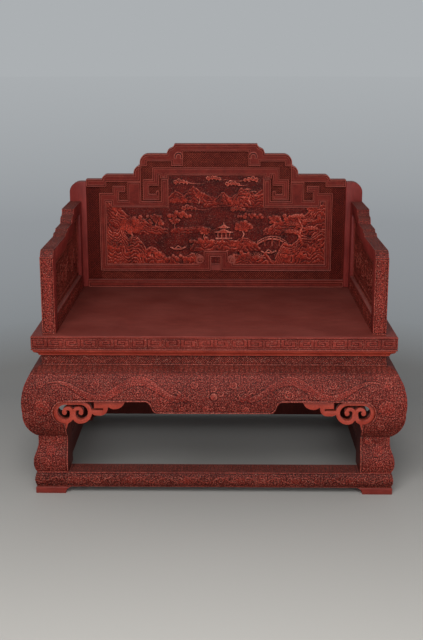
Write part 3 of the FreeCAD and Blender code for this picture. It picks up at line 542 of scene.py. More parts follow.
# rear is how dark the painted shade at the back grows
plainColumns = ("dark", "light", "cloudMm", "drag", "brushMm", "fleckMm", "fleck", "fleckColour",
                "rough", "specular", "bump", "settled", "settledColour", "rear")
plainRows = {
    "bright_cinnabar_lacquer": ("#8e2e20", "#a53e2d", 40, even, 6, 3, 0.25, "#c88474",
                                (0.32, 0.46), 0.3, 0.15, 0.25, "#8a5f55", 1.0),
    "rubbed_brown_red_lacquer": ("#6a221b", "#7e2f26", 110, alongX, 5, 4, 0.12, "#a8857c",
                                 (0.42, 0.56), 0.2, 0.12, 0.2, "#8a6158", 1.0),
    # the seat's flecks are dust; its last value, 0.6, paints shade at the back
    "dusty_seat_lacquer": ("#6a231b", "#7b2d24", 130, alongX, 5, 4, 0.2, "#b08c82",
                           (0.44, 0.58), 0.18, 0.12, 0.16, "#8a6158", 0.6),
    "rubbed_rose_red_lacquer": ("#6a211d", "#7f2d28", 90, alongZ, 4, 4, 0.15, "#b48c84",
                                (0.4, 0.54), 0.15, 0.12, 0.45, "#86625a", 1.0),
    # painted shade: a darker lacquer for the inner faces of legs and plinth rails, which lie in shade
    "inner_face_lacquer": ("#431510", "#5a211a", 70, alongZ, 4, 4, 0.25, "#8a6a62",
                           (0.48, 0.62), 0.12, 0.15, 0.4, "#7c5c54", 1.0),
    "fret_band_lacquer": ("#591711", "#6d221a", 26, even, 5, 3, 0.2, "#b86c5e",
                          (0.45, 0.6), 0.1, 0.3, 0.3, "#86625a", 1.0),
    # the beads are pale as rubbed wear and as a painted highlight along the band edges
    "rubbed_bead_lacquer": ("#8a3d32", "#a04d40", 30, even, 5, 3, 0.2, "#cc8a7c",
                            (0.38, 0.52), 0.2, 0.15, 0.2, "#96726a", 1.0),
    # painted shadow: dark lacquer for thin cords that stand in for the shadow lines of grooves
    "dark_groove_lacquer": ("#2c0a07", "#3a100b", 30, even, 5, 3, 0.1, "#6a4038",
                            (0.5, 0.65), 0.08, 0.15, 0.1, "#5c403a", 1.0),
    # painted shade: near-black lacquer for the apron and waist solids, standing for the deep shade under the
    # seat
    "dark_underside_lacquer": ("#1e0a08", "#2a0f0b", 80, alongX, 6, 4, 0.1, "#54362f",
                               (0.5, 0.65), 0.1, 0.15, 0.2, "#4a3530", 1.0),
}
bright, smooth, seatCoat, postCoat, innerCoat, bandCoat, beadCoat, grooveCoat, shadeCoat = (
    plainLacquer(name, dict(zip(plainColumns, row))) for name, row in plainRows.items())
timber = sawnTimber("bare_core_timber", {
    "body": [(0.35, "#6e4a2c"), (0.65, "#a07a50")], "drag": (1, 0.06, 1), "grainMm": 5,
})
print("finishes ready")


# legs and aprons: one face line all round, so the carving runs on from leg to apron

legs = {"inner": 106.0, "ringLevel": 281.5, "ringRadius": 38.0, "bottom": 71.4, "top": 401.6, "step": 1.7,
        "bead": 4.4, "apronLow": 281.6, "shoulder": 319.5, "crease": 194.0, "columns": 80,
        "outside": 700.0, "lineX": -545, "lineStep": 0.8}
zLine = np.arange(legs["bottom"], legs["top"] + legs["lineStep"] / 2, legs["lineStep"])


def faceLine(names, x, z):
    # height, reach and normal of a bulging face, read off its solids
    hits = [castOn(names, (x, -legs["outside"], level), (0, 1, 0)) for level in z]
    reach = np.array([-hit[1] for hit in hits]) - plan["halfDepth"]
    normal = facing(np.stack([reach, z], axis=1))
    return z, reach, normal[:, 0], normal[:, 1]


legLine = faceLine(("leg_front_left", "apron_front"), legs["lineX"], zLine)
apronLine = faceLine(("apron_front",), 0, zLine[zLine > legs["apronLow"]])


def faceAt(z, found):
    return [np.interp(z, found[0], values) for values in found[1:]]


def dragon(u, v, h, path, girth, top):
    # a long scaled body with a saw-edged back
    far, side, length, total = trace(u, v, path, 3 * girth)
    half = girth * np.interp(length / total, [0, 0.05, 0.3, 0.7, 1], [0.75, 0.66, 1, 0.8, 0.15])
    scaleLong, scaleWide = 8.0, 5.0  # mm
    spine = half + 4 * (1 - (length / scaleLong) % 1) * (half / girth)
    h = lay(h, soft(spine - far, -0.5, 0.7) * (side > 0), top * 0.62)
    h = lay(h, soft(half + 1.6 - far, -0.5, 0.5) * (far > half - 1), 0.4)
    row = np.floor(side / scaleWide)
    along = (length + scaleLong / 2 * (row % 2)) % scaleLong - scaleLong / 2
    scale = np.hypot(along, side - scaleWide * row - 1.0) / 4.4
    crown = top * (0.5 + 0.3 * dome(far / (half + 0.5)))
    return lay(h, soft(half - far, -0.8, 0.9), crown + 1.1 * (0.7 - scale))


def dragonHead(u, v, h, cu, cv, size, top):
    # skull, muzzle and jaw, then horns, mane and whiskers, then the eye; all as shares of the size
    bones = ((0.25, 0.1, 1.0, 0.75, 0.8), (-0.75, -0.2, 0.62, 0.42, 0.9), (-0.6, -0.62, 0.5, 0.2, 0.7))
    for du, dv, ru, rv, rise in bones:
        r = np.hypot((u - cu - du * size) / (ru * size), (v - cv - dv * size) / (rv * size))
        h = lay(h, soft(1.06 - r, -0.04, 0.1), top * rise * (0.7 + 0.3 * dome(r)))
    for path in (((0.2, 0.7), (0.9, 1.35), (1.7, 1.5)), ((0.5, 0.5), (1.3, 0.95), (2.0, 0.85)),
                 ((0.9, -0.1), (1.6, 0.2), (2.1, -0.1)), ((0.8, -0.5), (1.3, -0.7), (1.9, -0.5)),
                 ((-1.1, 0.0), (-1.5, 0.7), (-1.0, 1.2)), ((-1.1, -0.4), (-1.7, -0.5), (-2.0, 0.1))):
        h = line(u, v, h, np.array(path) * size + (cu, cv), size * 0.17, top * 0.85, 0.3)
    eye = np.hypot(u - cu + 0.05 * size, v - cv - 0.32 * size)
    h = lay(h, soft(0.3 * size - eye, -0.4, 0.4), 0.9)
    return lay(h, soft(0.18 * size - eye, -0.4, 0.5), top * 1.08)


def claw(u, v, h, cu, cv, size, lean, top):
    # a bent limb ending in four talons
    paw = (cu + 0.6 * lean * size, cv - 1.2 * size)
    h = line(u, v, h, [(cu, cv), (cu + lean * size, cv - 0.5 * size), paw], 3.0, top * 0.8, 0.8)
    for angle in (-2.6, -2.0, -1.4, -0.7):
        tip = (paw[0] + 0.62 * size * math.cos(angle), paw[1] + 0.62 * size * math.sin(angle))
        h = line(u, v, h, [paw, tip], 1.7, top * 0.85, 0.3)
    return h


# the dragon winds along the apron in a wave that flattens out
coil = {"start": 112, "run": 405, "level": 356, "swing": 29, "loss": 6, "crest": 236, "period": 258,
        "girth": 14.0, "top": 2.5}
coilShare = np.linspace(0, 1, 90)
coilX = coil["start"] + coil["run"] * coilShare
coilWave = np.cos(turn * (coilX - coil["crest"]) / coil["period"])
coilPath = np.stack([coilX, coil["level"] + (coil["swing"] - coil["loss"] * coilShare) * coilWave], axis=1)
dragonSkull = (98, 333, 15)  # x, z and size
dragonClaws = ((186, 370, -0.5), (300, 366, 0.5), (398, 336, -0.5))  # x, z and lean
clawSize = 17
pearl = {"level": 336, "radius": 11.5, "moat": 15, "flames": (0.4, 1.57, 2.74), "flameReach": 26}
sideVine = {"level": 358, "period": 144}
legFlowers = ((34, 300, 25, 9, 3.1), (52, 146, 17, 8, 2.8))  # in from the corner, z, radius, petals, top
# clouds: x, z and radius
frontPuffs = [(62, 372, 12), (158, 332, 13), (236, 342, 14), (300, 372, 12), (372, 372, 13), (430, 340, 12),
              (28, 298, 10), (100, 296, 11)]
sidePuffs = [(74, 372, 12), (216, 372, 12)]
legPuffs = [(28, 366, 13), (78, 372, 12), (60, 236, 12), (62, 107, 11), (26, 176, 10)]


def faceMotif(k, a, z):
    # the carving of one side's legs and apron, in place along the side and height
    across = sideSizes(k)[0]
    side = np.abs(a)
    h = 0.5 + 1.4 * curls(a, z, 10.5, 4.1, 3 + k)
    inLeg = across - legs["inner"]
    puffs = [(inLeg + cu, cv, radius) for cu, cv, radius in legPuffs]
    for cu, cv, radius in puffs + (frontPuffs if k % 2 == 0 else sidePuffs):
        h = line(side, z, h, spiral(cu, cv, radius, 1.7, 2.4, 1), 2.3, 2.1, 0.9)
    if k % 2 == 0:
        h = dragon(side, z, h, coilPath, coil["girth"], coil["top"])
        h = dragonHead(side, z, h, *dragonSkull, 3.0)
        for cu, cv, lean in dragonClaws:
            h = claw(side, z, h, cu, cv, clawSize, lean, 2.7)
        reach = pearl["flameReach"]
        for start in pearl["flames"]:
            root = (reach * math.cos(start), pearl["level"] + reach * math.sin(start))
            h = line(a, z, h, spiral(*root, 10, 0.8, start + 3.1, 1), 2.2, 2.3, 0.3)
        far = np.hypot(a, z - pearl["level"])
        h = lay(h, soft(pearl["moat"] - far, -0.5, 0.5), 0.5)
        h = lay(h, soft(pearl["radius"] - far, -0.6, 0.6), 1.4 + 1.7 * dome(far / 12))
    else:
        h = vine(a, z, h, sideVine["level"], sideVine["period"], 17, 13, 2.6, 2.6)
        h = rosette(a, z, h, 0, 338, 23, 8, 3.0)
        h = rosette(side, z, h, sideVine["period"], sideVine["level"], 20, 8, 2.9)
    for inset, level, radius, count, top in legFlowers:
        h = rosette(side, z, h, across - inset, level, radius, count, top)
    return h


def innerEdge(z, across):
    # where a leg's face ends, hollowed for the bracket ring
    ring = legs["ringRadius"] ** 2 - (z - legs["ringLevel"]) ** 2
    return across - legs["inner"] + np.sqrt(np.clip(ring, 0, None))


def edgeDistance(a, z, across):
    near = np.abs(a) - across + legs["inner"]
    ring = np.hypot(near, z - legs["ringLevel"]) - legs["ringRadius"]
    return np.where(z < legs["ringLevel"] - legs["ringRadius"], near, np.minimum(ring, noEdge))


def legFace(corner, signX, signY):
    # two carved faces that meet on the corner
    rows = int((legs["top"] - legs["bottom"]) / legs["step"]) + 1
    z = np.linspace(legs["bottom"], legs["top"], rows)[:, None]
    out, normalOut, normalZ = faceAt(z, legLine)
    parts, backs = [], []
    for k in (0 if signY < 0 else 2, 1 if signX > 0 else 3):
        turned = k % 2 == 1
        across, deep = sideSizes(k)
        share = np.linspace(0, 1, legs["columns"])[None, :]
        inner = innerEdge(z, across)
        side = inner + share * (across + out - inner)
        flow = (signX, signY, -signX, -signY)[k]
        height = faceMotif(k, flow * side, z + 0 * side)
        inward = np.where(z > legs["shoulder"], noEdge, edgeDistance(side, z, across))
        height = bead(height, legs["bead"], 2.3, inward)
        height = bead(height, 3.6, 1.9, z - legs["bottom"] + 0 * side)
        crease = np.abs(z - legs["crease"]) + 0 * side
        height = lay(height, soft(3.2 - crease, -1.2, 1.2), 0.5)
        height = lay(height, soft(5 - (across + out - side), -1, 2.4), 1.3)
        outNow = out + height * normalOut
        place = inner + share * (across + outNow - inner)
        x, y = (deep + outNow, place) if turned else (place, deep + outNow)
        parts.append((np.stack([signX * x, signY * y, z + height * normalZ], axis=-1), height))
        edge = (inner[:, 0], deep + out[:, 0] - backing)
        x, y = edge[::-1] if turned else edge
        backs.append(np.stack([signX * x, signY * y, z[:, 0]], axis=-1))
    front, height = (np.concatenate([first, second[:, -2::-1]], axis=1) for first, second in zip(*parts))
    carvedFace("carved_leg_" + corner, front, np.stack(backs, axis=1), height, "base", carved)


for corner, signs in corners.items():
    legFace(corner, *signs)
print("legs carved")


def apronFace(k):
    across, deep = sideSizes(k)
    half = across - legs["inner"]
    a = np.linspace(-half, half, int(2 * half / legs["step"]) + 1)
    below, middle = 200.0, 14.0  # mm, a level under the apron, and out to the middle of its thickness
    centre = atSide(k, a, np.full(a.shape, deep + middle), np.full(a.shape, below))
    low = np.array([castOn(("apron_" + sideNames[k],), point, (0, 0, 1))[2] for point in centre]) + 0.2
    rows = int((legs["top"] - low.min()) / legs["step"]) + 1
    share = np.linspace(0, 1, rows)[:, None]
    z = low + share * (legs["top"] - low)
    a = a[None, :] + 0 * z
    out, normalOut, normalZ = faceAt(z, apronLine)
    slope = np.abs(np.gradient(low, a[0]))
    height = bead(faceMotif(k, a, z), legs["bead"], 2.3, (z - low) / np.sqrt(1 + slope ** 2))
    front = atSide(k, a, deep + out + height * normalOut, z + height * normalZ)
    ends = [0, -1]
    back = atSide(k, a[ends], (deep + out - backing)[ends], z[ends]).swapaxes(0, 1)
    carvedFace("carved_apron_" + sideNames[k], front, back, height, "base", carved, True)


for k in range(4):
    apronFace(k)
print("aprons carved")


# petal moulding, waist, seat edge and plinth, mitred round the four sides

petals = {"pitch": 16.0, "lip": 3.0, "step": 1.6}
petalLine = [(2.0, 402.2), (2.0, 405.0)] + arc((2, 405), (-31, 422), 2.5)[1:]


def petalMotif(a, s, full, k):
    pitch = 2 * sideSizes(k)[0] / round(2 * sideSizes(k)[0] / petals["pitch"])
    x = np.abs(bay(a, pitch) - pitch / 2)
    h = 0.75 + 0 * a
    for grow, rise, start in ((0.95, 1.15, 5.0), (0.6, 1.4, 9.5)):
        wide = 0.5 * pitch * grow * np.sqrt(np.clip((s - start) / 13, 0, 1)) + 0.01
        h = lay(h, soft(wide - x, -0.7, 0.7) * (s > start), rise * (0.6 + 0.4 * dome(x / (wide + 0.6))))
    h = lay(h, soft(1.0 - x, -0.6, 0.6) * (s > 12) * (s < full - 6), 1.2)
    h = lay(h, soft(petals["lip"] + 1.2 - s, -0.6, 0.8), 1.1)
    return bead(h, 3.2, 2.0, full - s)


waist = {"pitch": 7.6, "step": 1.5}
waistLine = [(-31.0, 422.4), (-31.0, 455.8)]


def waistMotif(a, s, full, k):
    h = 0.5 + 1.0 * soft(1.1 - lattice(a, s, waist["pitch"]), -0.6, 0.7)
    return bead(h, 3.2, 2.0, s, full - s)


seatEdge = {"pitch": 53.0, "out": -3.0, "step": 1.5, "margin": 7.0}
seatEdgeLine = [(seatEdge["out"], 478.0), (seatEdge["out"], 519.5)]
key = np.array([(0.0, 0.06), (0.93, 0.06), (0.93, 0.94), (0.2, 0.94), (0.2, 0.36), (0.66, 0.36), (0.66, 0.66),
                (0.44, 0.66)])  # shares of a bay's length and height


def keyFret(u, v, pitch, low, high):
    # place in a bay, every second one turned round, and distance from the line of the key fret in it
    w = bay(u, pitch)
    w = np.where(np.floor(u / pitch) % 2 == 0, w, pitch - w)
    return w, trace(w, v, key * (pitch - 3, high - low) + (1.5, low), 9)[0]


def keyMotif(a, s, full, k):
    length = sideSizes(k)[0] + seatEdge["out"]
    pitch = length / round(length / seatEdge["pitch"])
    low, high = seatEdge["margin"], full - seatEdge["margin"]
    w, far = keyFret(a, s, pitch, low + 2, high - 2)
    h = 1.5 + 0.08 * curls(a, s, 7.0, 3.4, 21 + k)
    h = lay(h, soft(1.6 - far, -0.7, 0.7), 0.7)
    h = lay(h, soft(1.2 - np.minimum(w, pitch - w), -0.6, 0.6) * (s > low) * (s < high), 0.6)
    h = lay(h, soft(0.9 - np.minimum(np.abs(s - low + 1), np.abs(high - s + 1)), -0.6, 0.6), 0.8)
    return bead(h, 3.4, 1.9, s, full - s)


plinth = {"step": 1.7, "topStep": 2.3, "bay": 88, "endGap": 2}
plinthLine = arc((-6.0, 21.6), (-6.0, 70.8), 6.0)
plinthTopLine = [(-9.0, 71.0), (-71.0, 71.0)]


def plinthMotif(a, s, full, k):
    h = 0.4 + 1.6 * curls(a, s, 10.0, 3.8, 31 + k)
    h = vine(a, s, h, full / 2, plinth["bay"], 9, 10, 2.1, 1.9)
    h = rosette(bay(a, 2 * plinth["bay"]), s, h, plinth["bay"], full / 2, 14, 7, 2.5)
    return bead(h, 3.6, 1.9, s, full - s)


def plinthTopSpan(k):
    return sideSizes(k)[0] - legs["inner"] - plinth["endGap"]


def plinthTopMotif(a, s, full, k):
    h = 0.35 + 1.7 * curls(a, s, 12.0, 4.8, 41 + k)
    return bead(h, 3.4, 1.5, s, full - s, plinthTopSpan(k) - np.abs(a))


for k, word in enumerate(sideNames):
    sweptFace("petal_carving_" + word, k, petalLine, petals["step"], petalMotif, browned)
    sweptFace("waist_carving_" + word, k, waistLine, waist["step"], waistMotif, browned)
    sweptFace("seat_edge_carving_" + word, k, seatEdgeLine, seatEdge["step"], keyMotif, keyed)
    sweptFace("plinth_carving_" + word, k, plinthLine, plinth["step"], plinthMotif, browned)
    sweptFace("plinth_top_carving_" + word, k, plinthTopLine, plinth["topStep"], plinthTopMotif, dusted,
              plinthTopSpan(k))
print("mouldings carved")


# seat ogee, a plain bright moulding under the seat edge

ogee = {"step": 3.2, "rise": 0.5, "bow": 2.2}
ogeeLine = arc((-23, 456.1), (-14.5, 466.5), -ogee["bow"]) + arc((-14.5, 466.5), (-6, 477), ogee["bow"])[1:]
for k, word in enumerate(sideNames):
    sweptFace("seat_ogee_" + word, k, ogeeLine, ogee["step"], lambda a, s, full, k: ogee["rise"] + 0 * a,
              bright, None, "bright_lacquer")


# arms

arms = {"inner": 495.0, "outer": 537.0, "middle": 516, "front": -365.0, "rear": 317.5, "foot": 523.4,
        "top": 784.0, "noseStep": 9.0, "noseLow": 767.0, "noseLength": 24, "crown": -339.0, "crownRise": 3,
        "panelIn": 508.0, "panelOut": 524.0, "panelLow": 578.4, "panelY": (-316.6, 270.2),
        "railLow": 525.5, "railHigh": 575.5, "gap": 0.4, "topGap": 0.3, "above": 1200,
        "frontStep": 1.4, "topStep": 1.6, "panelStep": 2.1, "railStep": 1.7}
armUnder = ([-95, -37, 82, 130], [744, 761, 761, 805])  # the underside of the top rail: y, and z there
armVine = {"level": 664, "period": 150, "shift": 18, "flowers": {-225: 1, -75: -1, 75: 1, 225: -1}}
armBorder = {"inner": 22, "pitch": 15.0, "bar": 18}
railKey = {"pitch": 48.0, "margin": 9}


def armFrontMotif(u, v, low, high):
    middle = (u.min() + u.max()) / 2
    h = 0.9 + 1.1 * curls(u, v, 11.0, 4.2, 51)
    h = vine(v - 20, u - middle, h, 0, 58, 8.5, 8.5, 2.0, 1.9)
    return bead(h, 3.4, 2.0, u - u.min(), u.max() - u, v - low, high - v)


def armTopMotif(x, s):
    nose = arms["noseLength"]
    h = 0.35 + 1.2 * curls(x, s, 10.5, 4.0, 57)
    h = np.where(s < nose, rosette(x, s, h, (x.min() + x.max()) / 2, nose / 2, 9, 8, 2.2), h)
    return bead(h, 3.2, 1.8, x - x.min(), x.max() - x, s, np.abs(s - nose) + 2)


def armPanelMotif(u, v, low, high):
    # a vine with flowers inside a border of small squares
    ends = np.minimum(u - u.min(), u.max() - u)
    far = np.minimum(np.minimum(ends, v - low), high - v)
    h = 0.4 + 1.3 * curls(u, v, 12.0, 4.4, 63)
    along = u - (u.min() + u.max()) / 2
    h = vine(along, v, h, armVine["level"], armVine["period"], 34, 22, 3.0, 2.6)
    for shift, way in armVine["flowers"].items():
        h = rosette(along - shift, v, h, 0, armVine["level"] + way * armVine["shift"], 24, 9, 3.0)
    h = lay(h, soft(armBorder["inner"] - far, -0.8, 0.8), 0.5)
    pitch, bar = armBorder["pitch"], armBorder["bar"]
    fret = np.minimum(np.abs((u / pitch) % 1 - 0.5), np.abs((v / pitch) % 1 - 0.5)) * pitch
    h = lay(h, soft(bar + 0.5 - far, -0.6, 0.6) * soft(far - 5, -0.6, 0.6) * soft(1.8 - fret, -0.7, 0.7), 1.7)
    h = bead(h, 3.4, 2.2, np.where(far > bar, far - bar, noEdge))
    return bead(h, 3.6, 2.0, far)


def railMotif(u, v, low, high):
    far = keyFret(u, v, railKey["pitch"], low.min() + railKey["margin"], high.max() - railKey["margin"])[1]
    h = lay(1.6 + 0.3 * curls(u, v, 7.0, 3.4, 71), soft(1.5 - far, -0.7, 0.7), 0.4)
    return bead(h, 3.4, 1.9, v - low, high - v)


def topFace(name, profile, xRange, step, motif, body):
    # a carved strip along a stepped rail, its rows following the profile in y and z
    points, s = evenly(profile, step)
    normal = -facing(points)
    x = np.linspace(xRange[0], xRange[1], int((xRange[1] - xRange[0]) / step) + 1)[None, :]
    height = motif(x + 0 * s[:, None], s[:, None] + 0 * x)
    y, z = points[:, :1], points[:, 1:]
    front = np.stack([x + 0 * height, y + height * normal[:, :1], z + height * normal[:, 1:]], axis=-1)
    ends = x[:, [0, -1]] + 0 * y
    yBack, zBack = y - backing * normal[:, :1], z - backing * normal[:, 1:]
    back = np.stack([ends, yBack + 0 * ends, zBack + 0 * ends], axis=-1)
    return carvedFace(name, front, back, height, body, dusted)


for word, sign in hands.items():
    body = word + "_arm"
    xRange = sorted((sign * (arms["inner"] + arms["topGap"]), sign * (arms["outer"] - arms["topGap"])))
    flatFace(body + "_front_carving", (0, arms["front"], 0), (1, 0, 0), xRange, arms["foot"],
             arms["noseLow"] - arms["gap"], arms["frontStep"], armFrontMotif, body, carved)
    tops = [body + "_" + piece for piece in ("front_stile", "top_rail", "rear_stile")]
    noseFoot = (arms["front"] + arms["noseStep"], arms["noseLow"] + arms["gap"])
    profile = arc(noseFoot, (arms["crown"], arms["top"]), -arms["crownRise"])
    profile += [(y, castOn(tops, (sign * arms["middle"], y, arms["above"]), (0, 0, -1))[2])
                for y in np.arange(arms["crown"] + 1, arms["rear"], 1.5)]
    topFace(body + "_top_carving", profile, xRange, arms["topStep"], armTopMotif, body)
    for place, way, flat, edge in (("inner", -sign, arms["panelIn"], arms["inner"]),
                                   ("outer", sign, arms["panelOut"], arms["outer"])):
        uRange = sorted(way * y for y in arms["panelY"])
        flatFace("%s_%s_carving" % (body, place), (sign * flat, 0, 0), (0, way, 0), uRange, arms["panelLow"],
                 lambda u: np.interp(way * u, *armUnder) - arms["gap"], arms["panelStep"], armPanelMotif, body,
                 carved)
        flatFace("%s_%s_fret" % (body, place), (sign * edge, 0, 0), (0, way, 0), uRange, arms["railLow"],
                 arms["railHigh"], arms["railStep"], railMotif, body, carved)
print("arms carved")


# back: dark diaper ground, then the landscape in relief

backs = {"face": 331.0, "panel": 326.0, "pitch": 8.2, "groundStep": 1.7, "sceneStep": 1.45}
fields = {"left": (-475.6, -428, 552.4, 900), "right": (428, 475.6, 552.4, 900),
          "bottom": (-428, 428, 552.4, 586),
          "wing_left": (-428, -322, 848, 918), "wing_right": (322, 428, 848, 918),
          "shoulder_left": (-276, -200, 845, 992), "shoulder_right": (200, 276, 845, 992),
          "crest": (-200, 200, 968, 992), "crest_top": (-126, 126, 992, 1028)}


def groundMotif(u, v, low, high):
    return 0.4 + 1.4 * soft(1.2 - lattice(u, v, backs["pitch"]), -0.6, 0.7)


def backFace(name, place, field, step, motif, material):
    left, right, low, high = field
    flatFace(name, (0, place, 0), (1, 0, 0), (left, right), low, high, step, motif, "back", material)


# the fields beside the arms keep the darker diaper as painted shade, the rest the paler lit copy
for word, field in fields.items():
    backFace("back_ground_" + word, backs["face"], field, backs["groundStep"], groundMotif,
             ground if word in hands else rubbedGround)


def massif(u, v, h, ridge, base, top, seed):
    # rock under a ridge line, in ledges that stand out above and sink away below
    xs, zs = zip(*ridge)
    crag = 9 * (mottle(u, 0 * u, 15, seed) - 0.5) + 5 * (mottle(u, 0 * u, 6, seed + 3) - 0.5)
    edge = np.interp(u, xs, zs) + crag
    down = edge - v
    foot = base + 6 * (mottle(u, 0 * u + 9, 17, seed) - 0.5)
    inside = soft(down, -0.8, 1.0) * soft(v - foot, -1.5, 1.5) * (u > xs[0]) * (u < xs[-1])
    ledge = (down + 34 * mottle(u, v, 38, seed + 4) + 15 * mottle(u, v, 13, seed + 2)) / 16
    fall = ledge - np.floor(ledge)
    strokes = np.abs(np.sin((down + 0.3 * u + 9 * mottle(u, v, 14, seed + 1)) / 1.8))
    sunk = np.clip(down / np.maximum(edge - foot, 1), 0, 1)
    return lay(h, inside, top * (1 - 0.55 * fall ** 0.9) * (0.7 + 0.3 * strokes) * (1 - 0.3 * sunk))


def puff(u, v, h, cu, cv, radius, top, seed):
    # a clump of leaves: a scalloped disc with radial cuts
    du, dv = u - cu, v - cv
    r, angle = np.hypot(du, dv), np.arctan2(dv, du)
    edge = radius * (0.82 + 0.18 * np.abs(np.cos(3.5 * angle + seed)))
    cutsIn = 0.82 + 0.18 * np.cos(11 * angle + seed) * soft(r, 0.2 * radius, 0.7 * radius)
    return lay(h, soft(edge - r, -0.7, 0.8), top * cutsIn * (1 - 0.25 * (r / (edge + 0.1)) ** 2))


def thicket(u, v, h, start, end, z, rise, top, seed):
    # a bank of leaf clumps
    count = int((end - start) / 8)
    for i in range(count):
        pick = [scatter(i + 1.0, j + 1.0, seed) for j in range(3)]
        hump = rise * math.sin(math.pi * (i + 0.5) / count) ** 0.6
        x = start + (i + pick[0]) * (end - start) / count
        level = z + hump * (1 - i % 3 / 2.6) * (0.7 + 0.3 * pick[1])
        h = puff(u, v, h, x, level, 5.5 + 4.5 * pick[2], top * (0.8 + 0.2 * pick[1]), i)
    return h


def fan(u, v, h, x, z, size, top):
    # broad blades spreading from one root
    for i in range(9):
        angle = math.radians(18 + 18 * i)
        mid = (x + 0.55 * size * math.cos(angle), z + 0.62 * size * math.sin(angle))
        tip = (x + size * math.cos(angle), z + 0.8 * size * math.sin(angle) - 0.1 * size)
        h = line(u, v, h, [(x, z), mid, tip], 0.075 * size, top * (0.8 + 0.2 * (i % 2)), 0.2)
    return h


def trunk(x, z, size, lean, bends):
    return [(x + side * lean * size, z + up * size) for side, up in bends]


def leafTree(u, v, h, x, z, size, lean, top, spread):
    bends = ((0, 0), (0.1, 0.3), (-0.06, 0.6), (0.08, 0.95))
    h = line(u, v, h, trunk(x, z, size, lean, bends), 0.05 * size, top * 0.8, 0.4)
    for i in range(spread):
        angle = i * 2.4
        reach = size * 0.36 * math.sqrt((i + 0.6) / spread)
        cu = x + lean * 0.05 * size + 1.25 * reach * math.cos(angle)
        cv = z + 0.74 * size + 0.72 * reach * math.sin(angle)
        h = line(u, v, h, [(x, z + 0.5 * size), (cu, cv)], 0.02 * size, top * 0.65, 0.6)
        h = puff(u, v, h, cu, cv, size * 0.135, top * (0.86 + 0.14 * math.cos(i * 1.7)), i)
    return h


def pine(u, v, h, x, z, size, lean, top):
    bends = ((0, 0), (0.14, 0.3), (0.02, 0.62), (0.2, 1))
    h = line(u, v, h, trunk(x, z, size, lean, bends), 0.055 * size, top * 0.85, 0.35)
    tiers = ((0.42, 0.42, 0.3), (-0.3, 0.55, 0.28), (0.36, 0.7, 0.26), (-0.2, 0.84, 0.24), (0.2, 1.0, 0.27))
    for du, dv, wide in tiers:
        cu, cv = x + lean * du * size, z + dv * size
        bough = [(x + 0.06 * lean * size, z + (dv - 0.1) * size), (cu, cv)]
        h = line(u, v, h, bough, 0.025 * size, top * 0.7, 0.6)
        px, pz = (u - cu) / (wide * size), (v - cv) / (0.42 * wide * size)
        r = np.hypot(px, np.where(pz < 0, 3 * pz, pz))
        needles = 0.84 + 0.16 * np.cos(17 * np.arctan2(pz + 0.3, px))
        h = lay(h, soft(1 - r, -0.05, 0.14), top * needles * (1 - 0.2 * r))
    return h


def pavilion(u, v, h, x, z, wide, top):
    # a terrace, an open hall on four posts and two tiled roofs
    du, dv = u - x, v - z
    side = np.abs(du)
    terrace = soft(0.56 * wide - side, -0.5, 0.5) * soft(dv, -0.6, 0.6) * soft(0.1 * wide - dv, -0.6, 0.6)
    h = lay(h, terrace, top * 0.85)
    between = soft(dv - 0.1 * wide, -0.5, 0.5) * soft(0.5 * wide - dv, -0.5, 0.5)
    hall = soft(0.42 * wide - side, -0.5, 0.5) * between
    h = lay(h, hall, top * 0.35)
    post = np.abs(side - np.where(side > 0.26 * wide, 0.4, 0.14) * wide)
    h = lay(h, hall * soft(1.7 - post, -0.6, 0.6), top * 0.8)
    tiles = 0.88 + 0.12 * np.cos(turn * du / 4.2)
    for low, reach, rise in ((0.46, 0.72, 0.24), (0.78, 0.46, 0.24)):
        share = np.clip(side / (reach * wide), 0, 1)
        roof = low * wide + rise * wide * (1 - share) ** 1.6 + 0.05 * wide * share ** 6
        eave = low * wide - 0.05 * wide + 0.1 * wide * share ** 4
        under = soft(reach * wide - side, -0.5, 0.5) * soft(roof - dv, -0.6, 0.6) * soft(dv - eave, -0.6, 0.6)
        h = lay(h, under, top * tiles)
    return line(u, v, h, [(x, z + 0.98 * wide), (x, z + 1.14 * wide)], 2.2, top, 0.4)


def bridge(u, v, h, start, end, z, rise, top):
    t = np.linspace(0, 1, 24)
    deck = np.stack([start + (end - start) * t, z + rise * 4 * t * (1 - t)], axis=1)
    h = line(u, v, h, deck, 3.4, top * 0.9, 1)
    h = line(u, v, h, deck + (0, 9), 1.5, top * 0.85, 1)
    for x, level in deck[::3]:
        h = line(u, v, h, [(x, level), (x, level + 10)], 1.3, top * 0.9, 1)
    for share in (0.25, 0.5, 0.75):
        x = start + (end - start) * share
        h = line(u, v, h, [(x, z - 6), (x, z + rise * 4 * share * (1 - share))], 1.8, top * 0.6, 1)
    return h


def drift(u, v, h, x, z, length, hand, top):
    # a trailing cloud with curled heads
    t = np.linspace(0, 1, 24)
    trail = np.stack([x + hand * length * t, z + 3 * np.sin(turn * t)], axis=1)
    h = line(u, v, h, trail, 3.6, top * 0.8, 0.15)
    for du, dv, radius in ((0, 3, 8), (13, 8, 9.5), (28, 5, 8), (42, 2, 6)):
        h = line(u, v, h, spiral(x + hand * du, z + dv, radius, 1.5, -1.2, hand), 2.1, top, 0.7)
    return h


def boat(u, v, h, x, z):
    h = line(u, v, h, [(x - 26, z + 5), (x - 14, z - 1), (x + 12, z - 1), (x + 27, z + 6)], 3.0, 2.6, 1)
    return line(u, v, h, [(x - 9, z + 3), (x, z + 11), (x + 11, z + 3)], 2.0, 2.7, 1)


